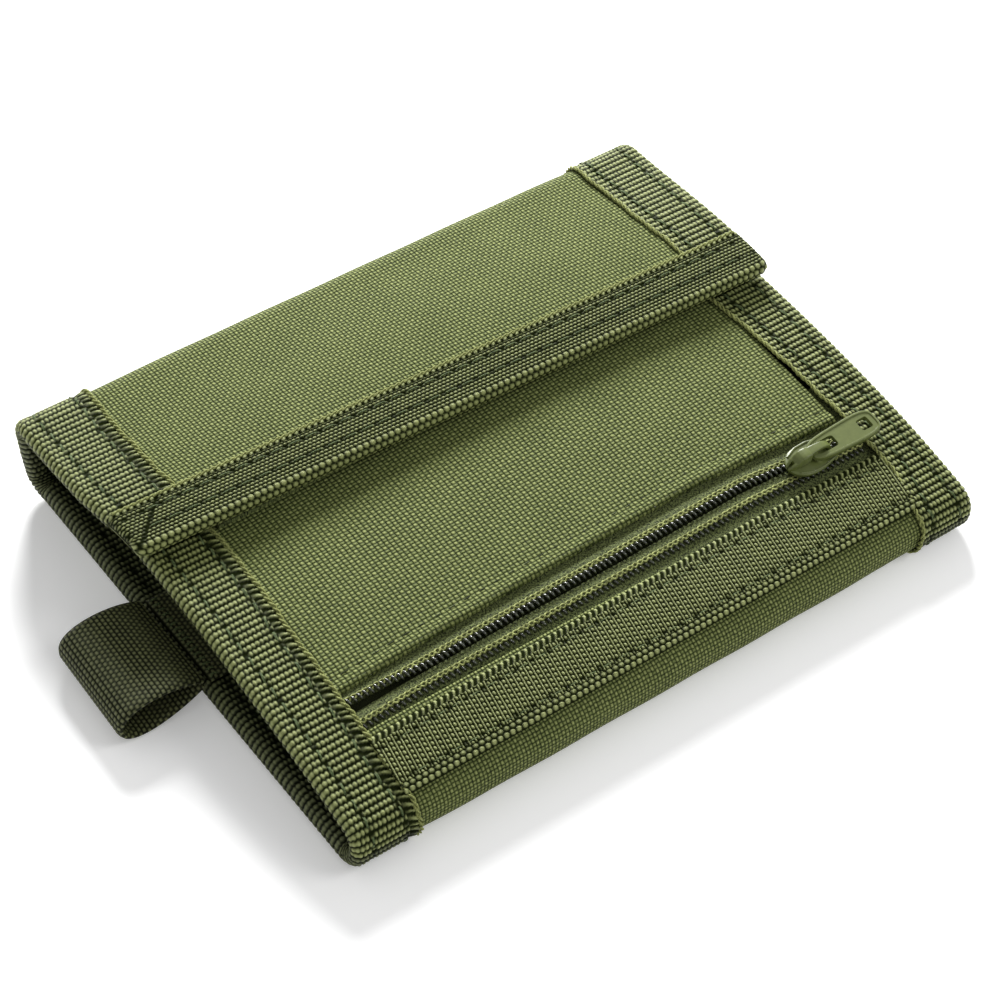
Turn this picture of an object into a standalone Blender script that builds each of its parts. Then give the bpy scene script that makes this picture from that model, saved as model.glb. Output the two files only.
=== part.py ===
"""Trifold wallet in woven nylon: zip coin pocket, hook-and-loop flap and a webbing side loop.

Frame: +X runs along the folds, +Y from the front fold to the back fold, +Z up. The origin is on the
resting face, under the middle of the closed wallet. The outer shell is one strip of cloth that runs
from the far edge of the zip panel, round the front fold, along the bottom, up the back fold and over
the flap. Most pieces are layers of that strip, so they are swept along it at a depth below its skin.
Metres throughout, apart from the constants below, which are in millimetres and marked by mm().
"""
from math import atan2, cos, pi, radians, sin, tan

import bmesh
import bpy
from mathutils import Matrix, Vector

# driving sizes, millimetres
HALF_WIDTH = 63.5  # half the wallet's length along the folds
FRONT_Y = -42.86  # where the bottom panel starts to rise into the front fold
FRONT_RADIUS = 4.2
FRONT_SPINE = 0.73  # upright stretch of the front fold
BACK_Y = 47.4  # where the bottom panel starts to rise into the back fold
BACK_RADIUS = 5.0
BACK_SPINE = 9.6  # upright stretch of the back fold
BOTTOM_TURN = radians(90)  # turn of the shell at the bottom of both folds
PANEL_TURN = radians(75.6)  # turn of the shell at the top of the front fold
PANEL_FAR = (32.6, 16.6)  # far edge of the zip panel, under the flap (y, z)
FLAP_FREE = (12.35, 19.55)  # free edge of the flap (y, z)
FLAP_CROWN_Z = 21.6  # height of the flap curve's control point
LEAD = 0.4  # straight cloth at each end of a fold

# layers, millimetres below the shell's skin
TAPE = 0.5  # binding tape thickness
GAP = 0.3  # air between touching pieces
CLOTH = 0.6
LINING = 0.4
BOARD = 0.8  # plastic sheet that stiffens the back panel
COVER_TOP = TAPE + GAP
COVER_END = COVER_TOP + CLOTH
SECOND_TOP = COVER_END + GAP
SECOND_END = SECOND_TOP + LINING
THIN_EDGE = SECOND_END + GAP + TAPE  # bound edge of the flap, folds and zip panel
BOARD_END = SECOND_TOP + BOARD
BILL_TOP = BOARD_END + GAP
THICK_EDGE = BILL_TOP + LINING + GAP + TAPE  # bound edge of the back panel

# trim, millimetres
BINDING_WIDTH = 12.2  # side bindings
EDGE_BINDING = 8.3  # binding of the free edges
INNER_X = HALF_WIDTH - BINDING_WIDTH - GAP  # half width between the side bindings
CORE_X = HALF_WIDTH - TAPE - GAP  # half width of what the bindings hold
HOOK = 0.8
HOOK_FAR_Y = 31.0
HOOK_NEAR_Y = 21.5
LOOP_PILE = 0.6
PILE_NEAR_Y = 13.5
STRIP_THICK = 1.2  # webbing strip below the zip
STRIP_FAR_Y = -32.4
STRIP_NEAR_Y = -43.6

# pockets, millimetres
CARD_STEP = 11.0  # from one card pocket's mouth to the next
CARD_MOUTH_Y = 26.0  # mouth of the rearmost card pocket
CARD_FLOOR_Y = -36.0
WALL_TOP = 3.3  # coin pocket's inner wall
WALL_FAR_Y = 30.0
WALL_NEAR_Y = -38.0
WINDOW = 0.3
WINDOW_X = 42.0
WINDOW_FAR_Y = 24.0
WINDOW_NEAR_Y = -25.0
FRAME_X = 48.0
FRAME_FAR_Y = 28.0
FRAME_NEAR_Y = -29.0
OPENING_X = 38.0
OPENING_FAR_Y = 21.0
OPENING_NEAR_Y = -22.0

# zip, millimetres: u runs over the panel towards the flap, h above the shell's skin
ZIP_Y = -26.9
COIL_NEAR = 0.8
COIL_FAR = 2.8
COIL_TOP = 0.2
TAPE_REACH = 13.0
ZIP_FABRIC_Y = -23.2
STRIP_FABRIC_Y = -31.6
SLIDER_X = 42.5
SLIDER_HALF = 4.8
SLIDER_WIDE = 3.5
NECK_WIDE = 0.5
PIVOT_X = SLIDER_X + 0.5
PIVOT_H = 2.0
PULL_LONG = 13.8
PULL_WIDE = 2.8
PULL_THICK = 1.0
LEG_WIDE = 2.2
WINDOW_HALF = 1.1
HOLE_SPAN = (10.1, 12.4)  # from the pivot to the near and far ends of the pull's hole
HOLE_HALF = 1.15
PULL_DROOP = radians(-1)

# side loop, millimetres
SIDE_LOOP_NEAR_Y = -5.0
SIDE_LOOP_FAR_Y = 15.5
SIDE_LOOP_HINGE = (-63.9, 4.9)  # x, z
TAIL_START_X = -62.7
TAIL_END_X = -53.0
WEBBING = 0.9

OLIVE = (0.181, 0.254, 0.08)
TAPE_OLIVE = (0.117, 0.15, 0.048)
DARK_OLIVE = (0.05, 0.067, 0.024)
METAL_OLIVE = (0.188, 0.231, 0.08)


def mm(value):
    return value * 0.001


# ---- the shell's path in the YZ plane ----


def arc(centre, radius, start, turn, steps):
    """Points of an anticlockwise arc."""
    angles = [start + turn * i / steps for i in range(steps + 1)]
    return [Vector((centre[0] + radius * cos(a), centre[1] + radius * sin(a))) for a in angles]


def bezier(p0, p1, p2, p3, steps):
    """Points of a cubic curve."""
    points = []
    for i in range(steps + 1):
        t = i / steps
        weights = ((1 - t) ** 3, 3 * t * (1 - t) ** 2, 3 * t * t * (1 - t), t**3)
        points.append(sum((w * Vector(p) for w, p in zip(weights, (p0, p1, p2, p3))), Vector((0, 0))))
    return points


def front_fold_path():
    """From the zip panel down to the bottom panel."""
    top_z = FRONT_RADIUS + FRONT_SPINE
    upper = arc((FRONT_Y, top_z), FRONT_RADIUS, pi - PANEL_TURN, PANEL_TURN, 6)
    lower = arc((FRONT_Y, FRONT_RADIUS), FRONT_RADIUS, pi, BOTTOM_TURN, 6)
    return upper + lower


def back_fold_path():
    """From the bottom panel up to the flap."""
    lower = arc((BACK_Y, BACK_RADIUS), BACK_RADIUS, -pi / 2, BOTTOM_TURN, 6)
    upper = arc((BACK_Y, BACK_RADIUS + BACK_SPINE), BACK_RADIUS, 0, BOTTOM_TURN, 6)
    return lower + upper


def zip_panel_path():
    """From the far edge, under the flap, down to the front fold."""
    end = front_fold_path()[0]
    slope = Vector((cos(pi / 2 - PANEL_TURN), sin(pi / 2 - PANEL_TURN)))
    return bezier(PANEL_FAR, (9.0, 16.6), end + slope * 19, end, 8)


def flap_path():
    """From the back fold to the free edge."""
    start = back_fold_path()[-1]
    return bezier(start, start - Vector((7.4, 0)), (26.0, FLAP_CROWN_Z), FLAP_FREE, 6)


def bottom_path():
    return [Vector((FRONT_Y, 0)), Vector((BACK_Y, 0))]


def lengths(path):
    total = [0.0]
    for a, b in zip(path, path[1:]):
        total.append(total[-1] + (b - a).length)
    return total


def at_length(path, s):
    total = lengths(path)
    for i in range(len(path) - 1):
        if s <= total[i + 1] or i == len(path) - 2:
            return path[i].lerp(path[i + 1], (s - total[i]) / (total[i + 1] - total[i]))


def length_at_y(path, y):
    """Distance along a path at which it crosses y."""
    total = lengths(path)
    for i, (a, b) in enumerate(zip(path, path[1:])):
        if min(a.x, b.x) <= y <= max(a.x, b.x):
            return total[i] + (total[i + 1] - total[i]) * (y - a.x) / (b.x - a.x)


def part_of(path, start, end):
    """The stretch between two distances along a path."""
    middle = [p for p, s in zip(path, lengths(path)) if start + 0.01 < s < end - 0.01]
    return [at_length(path, start)] + middle + [at_length(path, end)]


def trimmed(path, start=LEAD + GAP / 2, end=LEAD + GAP / 2):
    return part_of(path, start, lengths(path)[-1] - end)


def fold_cloth(path, way_in, way_out):
    """A fold's path with a short straight lead at each end, so that its ends are cut square."""
    lead = LEAD + GAP / 2
    longer = [path[0] - Vector(way_in) * lead] + path + [path[-1] + Vector(way_out) * lead]
    return part_of(longer, GAP, lengths(longer)[-1] - GAP)


def between(path, y_start, y_end):
    return part_of(path, length_at_y(path, y_start), length_at_y(path, y_end))


def outward(path, i):
    """Unit normal on the skin's side: the shell's inside lies to the left of its path."""
    before = path[max(i - 1, 0)]
    after = path[min(i + 1, len(path) - 1)]
    way = (after - before).normalized()
    return Vector((way.y, -way.x))


def at_depth(path, depth):
    return [p - outward(path, i) * depth for i, p in enumerate(path)]


# ---- mesh helpers ----


def make_object(name, mesh, colour, roughness=0.85, metallic=0.0, alpha=1.0):
    obj = bpy.data.objects.new(name, mesh)
    bpy.context.collection.objects.link(obj)
    material = bpy.data.materials.new(name)
    material.use_nodes = True
    shader = material.node_tree.nodes["Principled BSDF"]
    shader.inputs["Base Color"].default_value = (*colour, 1)
    shader.inputs["Roughness"].default_value = roughness
    shader.inputs["Metallic"].default_value = metallic
    shader.inputs["Alpha"].default_value = alpha
    mesh.materials.append(material)
    return obj


def mesh_from_rings(name, rings):
    """A closed mesh through rings of points in millimetres, capped at both ends."""
    bm = bmesh.new()
    rows = [[bm.verts.new([mm(c) for c in p]) for p in ring] for ring in rings]
    count = len(rows[0])
    for a, b in zip(rows, rows[1:]):
        for i in range(count):
            bm.faces.new((a[i], a[(i + 1) % count], b[(i + 1) % count], b[i]))
    bm.faces.new(rows[0])
    bm.faces.new(rows[-1])
    bmesh.ops.recalc_face_normals(bm, faces=bm.faces)
    mesh = bpy.data.meshes.new(name)
    bm.to_mesh(mesh)
    bm.free()
    return mesh


def sweep(name, path, section, colour, **finish):
    """A section of (x, depth) points carried along a path."""
    rings = []
    for i, p in enumerate(path):
        normal = outward(path, i)
        rings.append([(x, p.x - normal.x * d, p.y - normal.y * d) for x, d in section])
    return make_object(name, mesh_from_rings(name, rings), colour, **finish)


def extrude_x(name, outline, x_start, x_end, colour, **finish):
    """A YZ outline carried along X."""
    rings = [[(x, y, z) for y, z in outline] for x in (x_start, x_end)]
    return make_object(name, mesh_from_rings(name, rings), colour, **finish)


def extrude_y(name, outline, y_start, y_end, colour, **finish):
    """An XZ outline carried along Y."""
    rings = [[(x, y, z) for x, z in outline] for y in (y_start, y_end)]
    return make_object(name, mesh_from_rings(name, rings), colour, **finish)


def sheet_section(half, top, end):
    return [(-half, top), (half, top), (half, end), (-half, end)]


def channel_section(side, edge):
    """The folded binding tape: two legs and the web round the panel's side."""
    outer = side * HALF_WIDTH
    web = side * (HALF_WIDTH - TAPE)
    inner = side * (HALF_WIDTH - BINDING_WIDTH)
    return [
        (inner, 0),
        (outer, 0),
        (outer, edge),
        (inner, edge),
        (inner, edge - TAPE),
        (web, edge - TAPE),
        (web, TAPE),
        (inner, TAPE),
    ]


def edge_binding_outline(path):
    """The tape folded round a free edge, where the path ends."""
    end = path[-1]
    normal = outward(path, len(path) - 1)
    centre = end - normal * (THIN_EDGE / 2)
    start = atan2(normal.y, normal.x)
    outer = arc(centre, THIN_EDGE / 2, start, pi, 8)
    inner = arc(centre, THIN_EDGE / 2 - TAPE, start, pi, 8)
    skin = at_depth(path, 0)[:-1] + outer + at_depth(path, THIN_EDGE)[-2::-1]
    back = at_depth(path, THIN_EDGE - TAPE)[:-1] + inner[::-1] + at_depth(path, TAPE)[-2::-1]
    return skin + back


def side_bindings(prefix, path, edge):
    objects = []
    for word, side in (("left", -1), ("right", 1)):
        section = channel_section(side, edge)
        objects.append(sweep(f"{prefix}_binding_{word}", path, section, TAPE_OLIVE))
    return objects


def boolean(obj, tool, operation):
    """Joins or cuts with a second object, which stays as a hidden construction shape."""
    modifier = obj.modifiers.new(operation.lower(), "BOOLEAN")
    modifier.operation = operation
    modifier.object = tool
    tool.hide_render = True
    tool.display_type = "WIRE"


# ---- hinges ----


def unfold_centre(fixed, way, moved, turn, stretch):
    """Where to turn by -turn so that `moved`, past a bend, lands straight ahead of `fixed`."""
    target = fixed + way * stretch
    middle = (moved + target) / 2
    along = target - moved
    return middle + Vector((along.y, -along.x)) / (2 * tan(turn / 2))


def hinge_points():
    """(y, z) of the four fold axes."""
    bottom_front = Vector((FRONT_Y, 0))
    front_low = Vector((FRONT_Y - FRONT_RADIUS, FRONT_RADIUS))
    front_high = front_low + Vector((0, FRONT_SPINE))
    bottom_back = Vector((BACK_Y, 0))
    back_low = Vector((BACK_Y + BACK_RADIUS, BACK_RADIUS))
    back_high = back_low + Vector((0, BACK_SPINE))
    quarter = pi / 2
    return {
        "front_fold": unfold_centre(
            bottom_front, Vector((-1, 0)), front_low, -quarter, FRONT_RADIUS * quarter
        ),
        "zip_panel": unfold_centre(
            front_high, Vector((0, 1)), front_fold_path()[0], -PANEL_TURN, FRONT_RADIUS * PANEL_TURN
        ),
        "back_fold": unfold_centre(
            bottom_back, Vector((1, 0)), back_low, quarter, BACK_RADIUS * quarter
        ),
        "flap": unfold_centre(
            back_high, Vector((0, 1)), back_fold_path()[-1], quarter, BACK_RADIUS * quarter
        ),
    }


def pivot(name, x, y, z):
    empty = bpy.data.objects.new(name, None)
    empty.location = (mm(x), mm(y), mm(z))
    bpy.context.collection.objects.link(empty)
    return empty


def attach(children, parent):
    """Parents objects to a pivot without moving them."""
    inverse = Matrix.Translation(parent.location).inverted()
    for child in children:
        child.parent = parent
        child.matrix_parent_inverse = inverse


# ---- the back panel and what stays with it ----


def make_back_panel():
    path = trimmed(bottom_path())
    cover = [
        (-CORE_X, COVER_TOP),
        (-INNER_X, COVER_TOP),
        (-INNER_X, 0),
        (INNER_X, 0),
        (INNER_X, COVER_TOP),
        (CORE_X, COVER_TOP),
        (CORE_X, COVER_END),
        (-CORE_X, COVER_END),
    ]
    sweep("back_cover", path, cover, OLIVE)
    board = sheet_section(INNER_X - 2, SECOND_TOP, BOARD_END)
    sweep("back_stiffener", trimmed(bottom_path(), 2, 2), board, (0.02, 0.02, 0.02), roughness=0.5)
    sweep("bill_pocket_lining", path, sheet_section(CORE_X, BILL_TOP, BILL_TOP + LINING), DARK_OLIVE)
    side_bindings("back", path, THICK_EDGE)


def make_card_pockets():
    """Three stepped sheets on the inside of the back panel; each is one card pocket."""
    pocket_top = BILL_TOP + LINING + GAP
    for i, word in enumerate(("rear", "middle", "front")):
        top = pocket_top + i * (LINING + GAP)
        path = between(bottom_path(), CARD_FLOOR_Y, CARD_MOUTH_Y - i * CARD_STEP)
        sweep(f"card_pocket_{word}", path, sheet_section(INNER_X, top, top + LINING), DARK_OLIVE)


def side_loop_line():
    """Middle of the loop's webbing, from the upper ply at the root, out and back (x, z)."""
    root_x, root_z = SIDE_LOOP_HINGE
    upper = bezier((root_x, root_z + 0.55), (-69.0, 8.6), (-79.2, 8.4), (-79.0, 3.4), 9)
    lower = bezier((-79.0, 3.4), (-78.6, -0.9), (-70.5, 0.0), (root_x, root_z - 0.55), 9)
    return upper + lower[1:]


def make_side_loop():
    line = side_loop_line()
    outline = at_depth(line, -WEBBING / 2) + at_depth(line, WEBBING / 2)[::-1]
    loop = extrude_y("side_loop", outline, SIDE_LOOP_NEAR_Y, SIDE_LOOP_FAR_Y, DARK_OLIVE)
    hinge = pivot("side_loop_pivot", SIDE_LOOP_HINGE[0], 0, SIDE_LOOP_HINGE[1])
    attach([loop], hinge)
    low = THICK_EDGE + GAP
    start = TAIL_START_X
    tail = [(start, low), (TAIL_END_X, low), (TAIL_END_X, low + WEBBING), (start, low + WEBBING)]
    extrude_y("side_loop_tail", tail, SIDE_LOOP_NEAR_Y, SIDE_LOOP_FAR_Y, DARK_OLIVE)


# ---- folds, flap and zip panel ----


def make_fold(prefix, cloth, spine_start, spine_end, depth):
    """The cloth that bends round a fold, its bindings, and the flat lining strip behind its spine."""
    cover = sweep(f"{prefix}_cover", cloth, sheet_section(CORE_X, COVER_TOP, COVER_END), OLIVE)
    strip = [Vector(spine_start), Vector(spine_end)]
    section = sheet_section(INNER_X, depth, depth + LINING)
    lining = sweep(f"{prefix}_lining", strip, section, DARK_OLIVE)
    return [cover, lining] + side_bindings(prefix, cloth, THIN_EDGE)


def make_folds(hinges):
    front_y = FRONT_Y - FRONT_RADIUS
    from_panel = (-cos(pi / 2 - PANEL_TURN), -sin(pi / 2 - PANEL_TURN))
    cloth = fold_cloth(front_fold_path(), from_panel, (1, 0))
    front = make_fold("front_fold", cloth, (front_y, 6.0), (front_y, 3.1), SECOND_END)
    attach(front, pivot("front_fold_pivot", 0, *hinges["front_fold"]))
    back_y = BACK_Y + BACK_RADIUS
    cloth = fold_cloth(back_fold_path(), (1, 0), (-1, 0))
    back = make_fold("back_fold", cloth, (back_y, 4.6), (back_y, 15.0), SECOND_TOP)
    attach(back, pivot("back_fold_pivot", 0, *hinges["back_fold"]))


def make_flap(hinges):
    whole = flap_path()
    length = lengths(whole)[-1]
    start = LEAD + GAP / 2
    inside = part_of(whole, start, length)
    pieces = [
        sweep("flap_cover", inside, sheet_section(CORE_X, COVER_TOP, COVER_END), OLIVE),
        sweep("flap_lining", inside, sheet_section(CORE_X, SECOND_TOP, SECOND_END), DARK_OLIVE),
    ]
    pieces += side_bindings("flap", trimmed(whole, start, EDGE_BINDING + GAP), THIN_EDGE)
    outline = edge_binding_outline(part_of(whole, length - EDGE_BINDING, length))
    pieces.append(extrude_x("flap_edge_binding", outline, -HALF_WIDTH, HALF_WIDTH, TAPE_OLIVE))
    hook_top = SECOND_END + GAP
    hook = sheet_section(INNER_X - 1, hook_top, hook_top + HOOK)
    tape = between(whole, HOOK_FAR_Y, HOOK_NEAR_Y)
    pieces.append(sweep("flap_hook_tape", tape, hook, DARK_OLIVE, roughness=0.6))
    attach(pieces, pivot("flap_pivot", 0, *hinges["flap"]))


def make_zip_panel(hinges):
    whole = zip_panel_path()
    length = lengths(whole)[-1]
    covered = part_of(whole, 0, length_at_y(whole, ZIP_FABRIC_Y))
    panel_end = length - LEAD - GAP / 2
    strip = part_of(whole, length_at_y(whole, STRIP_FABRIC_Y), panel_end)
    cover = sheet_section(CORE_X, COVER_TOP, COVER_END)
    pieces = [
        sweep("zip_panel_cover", covered, cover, OLIVE),
        sweep("zip_panel_front_strip", strip, cover, OLIVE),
    ]
    bound = part_of(whole, EDGE_BINDING + GAP, panel_end)
    pieces += side_bindings("zip_panel", bound, THIN_EDGE)
    edge = part_of(whole, 0, EDGE_BINDING)[::-1]
    mirrored = [Vector((-p.x, p.y)) for p in edge]
    outline = [(-p.x, p.y) for p in edge_binding_outline(mirrored)]
    pieces.append(extrude_x("zip_panel_edge_binding", outline, -HALF_WIDTH, HALF_WIDTH, TAPE_OLIVE))
    pile_end = COVER_TOP - GAP
    pile = sheet_section(INNER_X - 1, pile_end - LOOP_PILE, pile_end)
    pile_path = between(whole, PANEL_FAR[0] - EDGE_BINDING - 2 * GAP, PILE_NEAR_Y)
    pieces.append(sweep("panel_loop_tape", pile_path, pile, TAPE_OLIVE, roughness=0.95))
    webbing = sheet_section(INNER_X, pile_end - STRIP_THICK, pile_end)
    webbing_path = between(whole, STRIP_FAR_Y, STRIP_NEAR_Y)
    pieces.append(sweep("webbing_strip", webbing_path, webbing, TAPE_OLIVE))
    pieces += make_coin_pocket(whole)
    pieces += make_zip(whole)
    attach(pieces, pivot("zip_panel_pivot", 0, *hinges["zip_panel"]))
    return whole


def make_coin_pocket(whole):
    """The pocket's inner wall, with the clear identity window and its frame on the inside."""
    wall = sheet_section(INNER_X, WALL_TOP, WALL_TOP + LINING)
    window_top = WALL_TOP + LINING + GAP
    film = sheet_section(WINDOW_X, window_top, window_top + WINDOW)
    frame_top = window_top + WINDOW + GAP
    frame = sweep(
        "id_window_frame",
        between(whole, FRAME_FAR_Y, FRAME_NEAR_Y),
        sheet_section(FRAME_X, frame_top, frame_top + LINING),
        DARK_OLIVE,
    )
    near, far = OPENING_NEAR_Y, OPENING_FAR_Y
    hole = [(near, 2), (far, 2), (far, 18), (near, 18)]
    opening = extrude_x("window_opening", hole, -OPENING_X, OPENING_X, OLIVE)
    boolean(frame, opening, "DIFFERENCE")
    film_path = between(whole, WINDOW_FAR_Y, WINDOW_NEAR_Y)
    return [
        sweep("coin_pocket_lining", between(whole, WALL_FAR_Y, WALL_NEAR_Y), wall, DARK_OLIVE),
        sweep("id_window", film_path, film, (0.8, 0.8, 0.8), roughness=0.1, alpha=0.3),
        frame,
    ]


# ---- zip ----


def zip_frame(whole):
    """Maps (x, u, h) to the wallet's frame: u over the panel towards the flap, h above its skin."""
    s = length_at_y(whole, ZIP_Y)
    origin = at_length(whole, s)
    way = (at_length(whole, s - 1) - at_length(whole, s + 1)).normalized()
    up = Vector((-way.y, way.x))

    def place(x, u, h):
        return (x, origin.x + way.x * u + up.x * h, origin.y + way.y * u + up.y * h)

    return place


def prism(name, place, outline, h_start, h_end, colour, **finish):
    """An (x, u) outline raised from one height to another."""
    rings = [[place(x, u, h) for x, u in outline] for h in (h_start, h_end)]
    return make_object(name, mesh_from_rings(name, rings), colour, **finish)


def side_prism(name, place, outline, u_start, u_end, colour, **finish):
    """An (x, h) outline carried across the zip."""
    rings = [[place(x, u, h) for x, h in outline] for u in (u_start, u_end)]
    return make_object(name, mesh_from_rings(name, rings), colour, **finish)


def rectangle(x_start, x_end, half):
    return [(x_start, -half), (x_end, -half), (x_end, half), (x_start, half)]


def make_zip(whole):
    """Two tapes with a coil on each, open along their whole length."""
    s = length_at_y(whole, ZIP_Y)
    place = zip_frame(whole)
    tape = sheet_section(CORE_X, SECOND_TOP, SECOND_END)
    upper = part_of(whole, s - TAPE_REACH, s - COIL_NEAR)
    lower = part_of(whole, s + COIL_NEAR, s + TAPE_REACH)
    pieces = [
        sweep("zip_tape_upper", upper, tape, DARK_OLIVE),
        sweep("zip_tape_lower", lower, tape, DARK_OLIVE),
    ]
    base = GAP - SECOND_TOP
    middle = (COIL_NEAR + COIL_FAR) / 2
    radius = (COIL_FAR - COIL_NEAR) / 2
    half_turn = [pi * i / 8 for i in range(9)]
    crown = [(middle + radius * cos(a), base + (COIL_TOP - base) * sin(a)) for a in half_turn]
    for word, side in (("upper", 1), ("lower", -1)):
        rings = [[place(x, side * u, h) for u, h in crown] for x in (-INNER_X, INNER_X)]
        name = f"zip_coil_{word}"
        pieces.append(make_object(name, mesh_from_rings(name, rings), DARK_OLIVE, roughness=0.35))
    return pieces


def make_slider(whole):
    place = zip_frame(whole)
    metal = {"roughness": 0.4, "metallic": 0.6}
    x0 = SLIDER_X
    shield = [
        (x0 - SLIDER_HALF, -1.2),
        (x0 - SLIDER_HALF + 2.2, -SLIDER_WIDE),
        (x0 + SLIDER_HALF - 0.8, -SLIDER_WIDE + 0.4),
        (x0 + SLIDER_HALF, -SLIDER_WIDE + 1.2),
        (x0 + SLIDER_HALF, SLIDER_WIDE - 1.2),
        (x0 + SLIDER_HALF - 0.8, SLIDER_WIDE - 0.4),
        (x0 - SLIDER_HALF + 2.2, SLIDER_WIDE),
        (x0 - SLIDER_HALF, 1.2),
    ]
    under = -THIN_EDGE + TAPE
    slider = prism("zip_slider", place, shield, 0.5, 1.0, METAL_OLIVE, **metal)
    lower = prism("slider_lower_plate", place, shield, under - CLOTH, under, METAL_OLIVE)
    neck = [(x0 - 4.4, -NECK_WIDE), (x0 - 1.6, -NECK_WIDE), (x0 - 1.6, NECK_WIDE), (x0 - 4.4, NECK_WIDE)]
    neck = prism("slider_neck", place, neck, under - 0.3, 0.8, METAL_OLIVE)
    left, right = PIVOT_X - 4.1, PIVOT_X + 4.1
    bridge = [
        (left, 0.8),
        (left + 0.8, 0.8),
        (left + 0.8, 2.2),
        (left + 1.6, 2.8),
        (right - 1.6, 2.8),
        (right - 0.8, 2.2),
        (right - 0.8, 0.8),
        (right, 0.8),
        (right, 2.4),
        (right - 1.4, 3.5),
        (left + 1.4, 3.5),
        (left, 2.4),
    ]
    bridge = side_prism("slider_bridge", place, bridge, -0.7, 0.7, METAL_OLIVE)
    for tool in (lower, neck, bridge):
        boolean(slider, tool, "UNION")
    shapes = [slider, lower, neck, bridge]
    attach(shapes, pivot("zip_slider_pivot", *place(x0, 0, 0)))
    return place


def make_pull(place):
    """A flat tab with a rounded end, whose two legs and cross bar go round the slider's bridge."""

    def tilted(x, u, h):
        along = x * cos(PULL_DROOP) + h * sin(PULL_DROOP)
        rise = h * cos(PULL_DROOP) - x * sin(PULL_DROOP)
        return place(PIVOT_X + along, u, PIVOT_H + rise)

    end = PULL_LONG - PULL_WIDE
    half_turn = [-pi / 2 + pi * i / 10 for i in range(11)]
    round_end = [(end + PULL_WIDE * cos(a), PULL_WIDE * sin(a)) for a in half_turn]
    outline = [(-0.5, LEG_WIDE), (-0.5, -LEG_WIDE), (3.0, -LEG_WIDE)] + round_end + [(3.0, LEG_WIDE)]
    half = PULL_THICK / 2
    pull = prism("zip_pull", tilted, outline, -half, half, METAL_OLIVE, roughness=0.4, metallic=0.6)
    window = prism("pull_window", tilted, rectangle(0.5, 5.2, WINDOW_HALF), -1, 1, METAL_OLIVE)
    hole = prism("pull_hole", tilted, rectangle(*HOLE_SPAN, HOLE_HALF), -1, 1, METAL_OLIVE)
    boolean(pull, window, "DIFFERENCE")
    boolean(pull, hole, "DIFFERENCE")
    attach([pull, window, hole], pivot("zip_pull_pivot", *place(PIVOT_X, 0, PIVOT_H)))


def main():
    for obj in list(bpy.data.objects):
        bpy.data.objects.remove(obj)
    hinges = hinge_points()
    make_back_panel()
    make_card_pockets()
    make_side_loop()
    make_folds(hinges)
    make_flap(hinges)
    whole = make_zip_panel(hinges)
    make_pull(make_slider(whole))


main()
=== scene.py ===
"""Looks for the woven nylon trifold wallet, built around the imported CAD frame.

The outer shell is one strip of cloth. Every soft piece is laid out in strip coordinates: x along the
folds, s along the strip from the far edge of the zip panel round to the free edge of the flap, and
h above its skin. place() takes those to the row frame. Lengths are in millimetres until a mesh is
made, and the strip is cut into pieces only where the cloth rides a single body.
"""
from math import cos, pi, radians, sin

import bmesh
import bpy
import numpy as np
from mathutils import Matrix, Vector


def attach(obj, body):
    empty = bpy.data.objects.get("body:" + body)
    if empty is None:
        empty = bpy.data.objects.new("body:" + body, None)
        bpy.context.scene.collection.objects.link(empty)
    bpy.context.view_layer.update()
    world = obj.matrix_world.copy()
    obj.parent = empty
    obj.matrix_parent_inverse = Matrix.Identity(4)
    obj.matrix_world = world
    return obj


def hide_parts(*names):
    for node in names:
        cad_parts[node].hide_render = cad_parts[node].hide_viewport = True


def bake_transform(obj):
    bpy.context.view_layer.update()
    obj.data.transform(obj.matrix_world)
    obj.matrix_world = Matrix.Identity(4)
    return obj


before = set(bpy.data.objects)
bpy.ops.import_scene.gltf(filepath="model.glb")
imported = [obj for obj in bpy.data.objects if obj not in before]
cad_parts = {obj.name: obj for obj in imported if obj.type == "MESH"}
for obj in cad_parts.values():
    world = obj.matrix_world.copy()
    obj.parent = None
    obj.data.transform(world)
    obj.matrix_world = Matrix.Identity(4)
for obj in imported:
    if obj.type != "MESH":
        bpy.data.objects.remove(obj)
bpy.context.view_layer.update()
rng = np.random.default_rng(11)

# ---- sizes shared with the CAD, millimetres ----

HALF_WIDTH = 63.5
FRONT_Y, FRONT_RADIUS, FRONT_SPINE = -42.86, 4.2, 0.73
BACK_Y, BACK_RADIUS, BACK_SPINE = 47.4, 5.0, 9.6
PANEL_TURN = radians(75.6)
PANEL_FAR = (32.6, 16.6)
FLAP_FREE = (12.35, 19.55)
FLAP_CROWN_Z = 21.6
THIN_EDGE, THICK_EDGE = 2.9, 4.0
TAPE = 0.5
EDGE_BINDING = 8.3
SLIDER_X = 42.5
PIVOT_X, PIVOT_H = 43.0, 2.0
ZIP_Y = -26.9
LOOP_ROOT = (-63.9, 4.9)
LOOP_NEAR_Y, LOOP_FAR_Y = -5.0, 15.5
LOOP_HALF_THICK = 0.42

# ---- the strip's path in the YZ plane ----


def arc(cy, cz, radius, start, turn):
    a = start + turn * np.linspace(0, 1, 60)
    return np.c_[cy + radius * np.cos(a), cz + radius * np.sin(a)]


def bezier(p0, p1, p2, p3, steps=400):
    t = np.linspace(0, 1, steps)[:, None]
    p0, p1, p2, p3 = (np.array(p, float) for p in (p0, p1, p2, p3))
    return (1 - t) ** 3 * p0 + 3 * t * (1 - t) ** 2 * p1 + 3 * t * t * (1 - t) * p2 + t**3 * p3


def length_of(points):
    return float(np.linalg.norm(np.diff(points, axis=0), axis=1).sum())


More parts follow.
